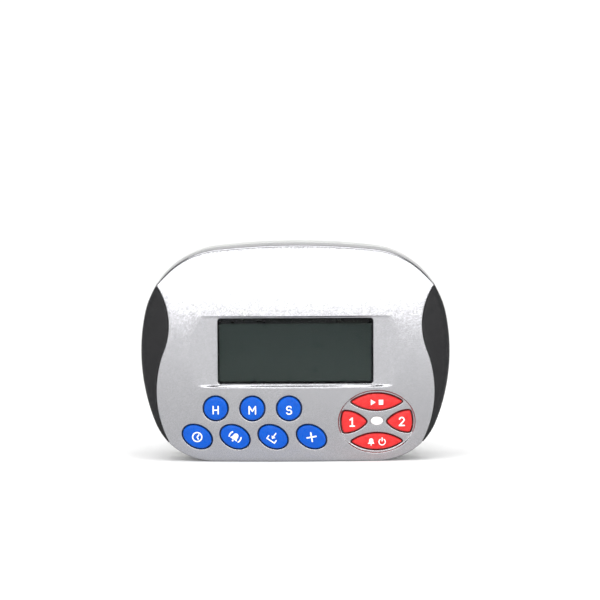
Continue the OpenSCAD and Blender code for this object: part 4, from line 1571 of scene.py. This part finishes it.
def make_cell():
    """AAA cell: steel can with a button, and a printed sleeve over it."""
    low, high = mm_box("battery_cell")
    middle = (0, (low.y + high.y) / 2, (low.z + high.z) / 2)
    x0, x1 = low.x, high.x
    r = (high.z - low.z) / 2
    can = Skin()
    profile = [
        (0, x0 + 0.15), (3.2, x0 + 0.15), (3.6, x0), (4.6, x0), (4.95, x0 + 0.2), (r - 0.14, x0 + 0.8),
        (r - 0.14, x1 - 2.0), (4.9, x1 - 1.5), (3.4, x1 - 1.3), (2.4, x1 - 1.35), (1.95, x1 - 1.2),
        (1.9, x1 - 0.25), (1.7, x1), (0, x1),
    ]
    lathe(can, profile, middle, "x", 56)
    steel = metal("cell_steel", (0.62, 0.62, 0.60), 0.3)
    can.build("cell_can", steel, "case", ["battery_cell"], 35)
    sleeve = Skin()
    outer = [(r - 0.1, x0 + 0.35), (r, x0 + 0.6), (r, x1 - 1.9), (r - 0.1, x1 - 1.65), (4.6, x1 - 1.45)]
    inner = [(4.6, x1 - 1.53), (r - 0.13, x1 - 1.95), (r - 0.13, x0 + 0.4)]
    rings = turned(sleeve, outer + inner, middle, "x", 56)
    sleeve.stack(rings + [rings[0]])
    sleeve.build("cell_sleeve", cell_jacket(), "case", (), 35)


make_lamp()
make_keypad()
make_cell()


def paint_node(node, material):
    """Gives every material slot of a CAD node one finish."""
    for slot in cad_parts[node].material_slots:
        slot.material = material


INNER_FINISHES = {
    "display_lens": clear_window(),
    "lcd_front_glass": lcd_face(),
    "lcd_rear_glass": lcd_face(),
    "lcd_reflector": moulded("reflector_film", (0.30, 0.32, 0.30), 0.35),
    "lcd_holder": moulded("white_plastic", (0.78, 0.78, 0.76), 0.45),
    "zebra_strip": moulded("zebra_rubber", (0.62, 0.34, 0.32), 0.5),
    "main_board": circuit_board(),
    "controller_blob": moulded("epoxy", (0.012, 0.012, 0.012), 0.16, 0.9),
    "clock_crystal": metal("tin", (0.70, 0.70, 0.68), 0.28, (1, 6, 6)),
    "board_capacitors": moulded("ceramic_tan", (0.42, 0.30, 0.18), 0.5),
    "alarm_led": moulded("led_epoxy", (0.85, 0.84, 0.80), 0.25),
    "battery_spring": metal("spring_nickel", (0.70, 0.69, 0.66), 0.26),
    "battery_contact": metal("contact_nickel", (0.70, 0.69, 0.66), 0.3, (6, 1, 6)),
    "buzzer_disc": metal("brass", (0.78, 0.56, 0.22), 0.34),
    "buzzer_leads": moulded("lead_red", (0.45, 0.02, 0.015), 0.35),
    "stand_pin": metal("pin_steel", (0.52, 0.52, 0.53), 0.3, (1, 8, 8)),
    "board_screws": metal("board_screw_steel", (0.52, 0.52, 0.53), 0.34),
}
for inner_node, finish in INNER_FINISHES.items():
    paint_node(inner_node, finish)


# ---------------------------------------------------------------- stage, lights and camera

def stage_material():
    paint = Paint("stage_white", (0.93, 0.93, 0.93), 0.6)
    paint.tint(paint.noise(60, 3), 0.99, 1.0)
    return paint.material


def make_stage():
    """A pale sheet that runs flat under the timer and curves up far behind it."""
    half, near, far, height, bend = 1.6, -1.4, 0.9, 1.6, 0.5
    profile = [(near, 0.0), (far - bend, 0.0)]
    for k in range(1, 17):
        a = math.pi / 2 * k / 16
        profile.append((far - bend + bend * math.sin(a), bend - bend * math.cos(a)))
    profile.append((far, height))
    points = [(sx * half, y, z) for y, z in profile for sx in (-1, 1)]
    faces = [(2 * k, 2 * k + 1, 2 * k + 3, 2 * k + 2) for k in range(len(profile) - 1)]
    mesh = bpy.data.meshes.new("floor")
    mesh.from_pydata(points, [], faces)
    mesh.shade_smooth()
    mesh.materials.append(stage_material())
    floor = put("floor", mesh)


def area_light(name, place, target, width, height, power):
    light = bpy.data.lights.new(name, "AREA")
    light.shape = "RECTANGLE"
    light.size = width
    light.size_y = height
    light.energy = power
    lamp = put(name, light)
    lamp.location = place
    lamp.rotation_euler = (Vector(target) - Vector(place)).to_track_quat("-Z", "Y").to_euler()


def make_lights():
    area_light("overhead", (0.0, -0.4, 1.1), (0, -0.25, 0.0), 1.2, 0.9, 13.9)
    area_light("front_box", (0.15, -1.5, 0.355), (0, 0, 0.06), 2.2, 0.55, 18.5)
    area_light("left_box", (-1.5, -0.55, 0.42), (0, 0, 0.04), 1.1, 0.75, 6.5)
    area_light("right_box", (1.5, -0.55, 0.42), (0, 0, 0.04), 1.1, 0.75, 5)
    world = bpy.data.worlds.new("studio")
    world.use_nodes = True
    background = world.node_tree.nodes["Background"]
    background.inputs["Color"].default_value = (1, 1, 1, 1)
    background.inputs["Strength"].default_value = 0.22
    bpy.context.scene.world = world


FRAME_WIDTH = 199.45
CAMERA_DISTANCE = 1000.0
CAMERA_UP = math.radians(6.0)
CAMERA_ROLL = math.radians(-0.23)
AIM = Vector((1.57, 0.0, 52.9))


def make_camera():
    data = bpy.data.cameras.new("camera")
    data.sensor_width = 36.0
    data.lens = 36.0 * CAMERA_DISTANCE / FRAME_WIDTH
    data.clip_start = 0.05
    data.clip_end = 20
    camera = put("camera", data)
    back = Vector((0, -math.cos(CAMERA_UP), math.sin(CAMERA_UP)))
    camera.location = (AIM + back * CAMERA_DISTANCE) * MM
    turn = back.to_track_quat("Z", "Y").to_matrix().to_4x4() @ Matrix.Rotation(CAMERA_ROLL, 4, "Z")
    camera.rotation_euler = turn.to_euler()
    bpy.context.scene.camera = camera


make_stage()
make_lights()
make_camera()
bpy.context.scene.view_settings.view_transform = "Standard"
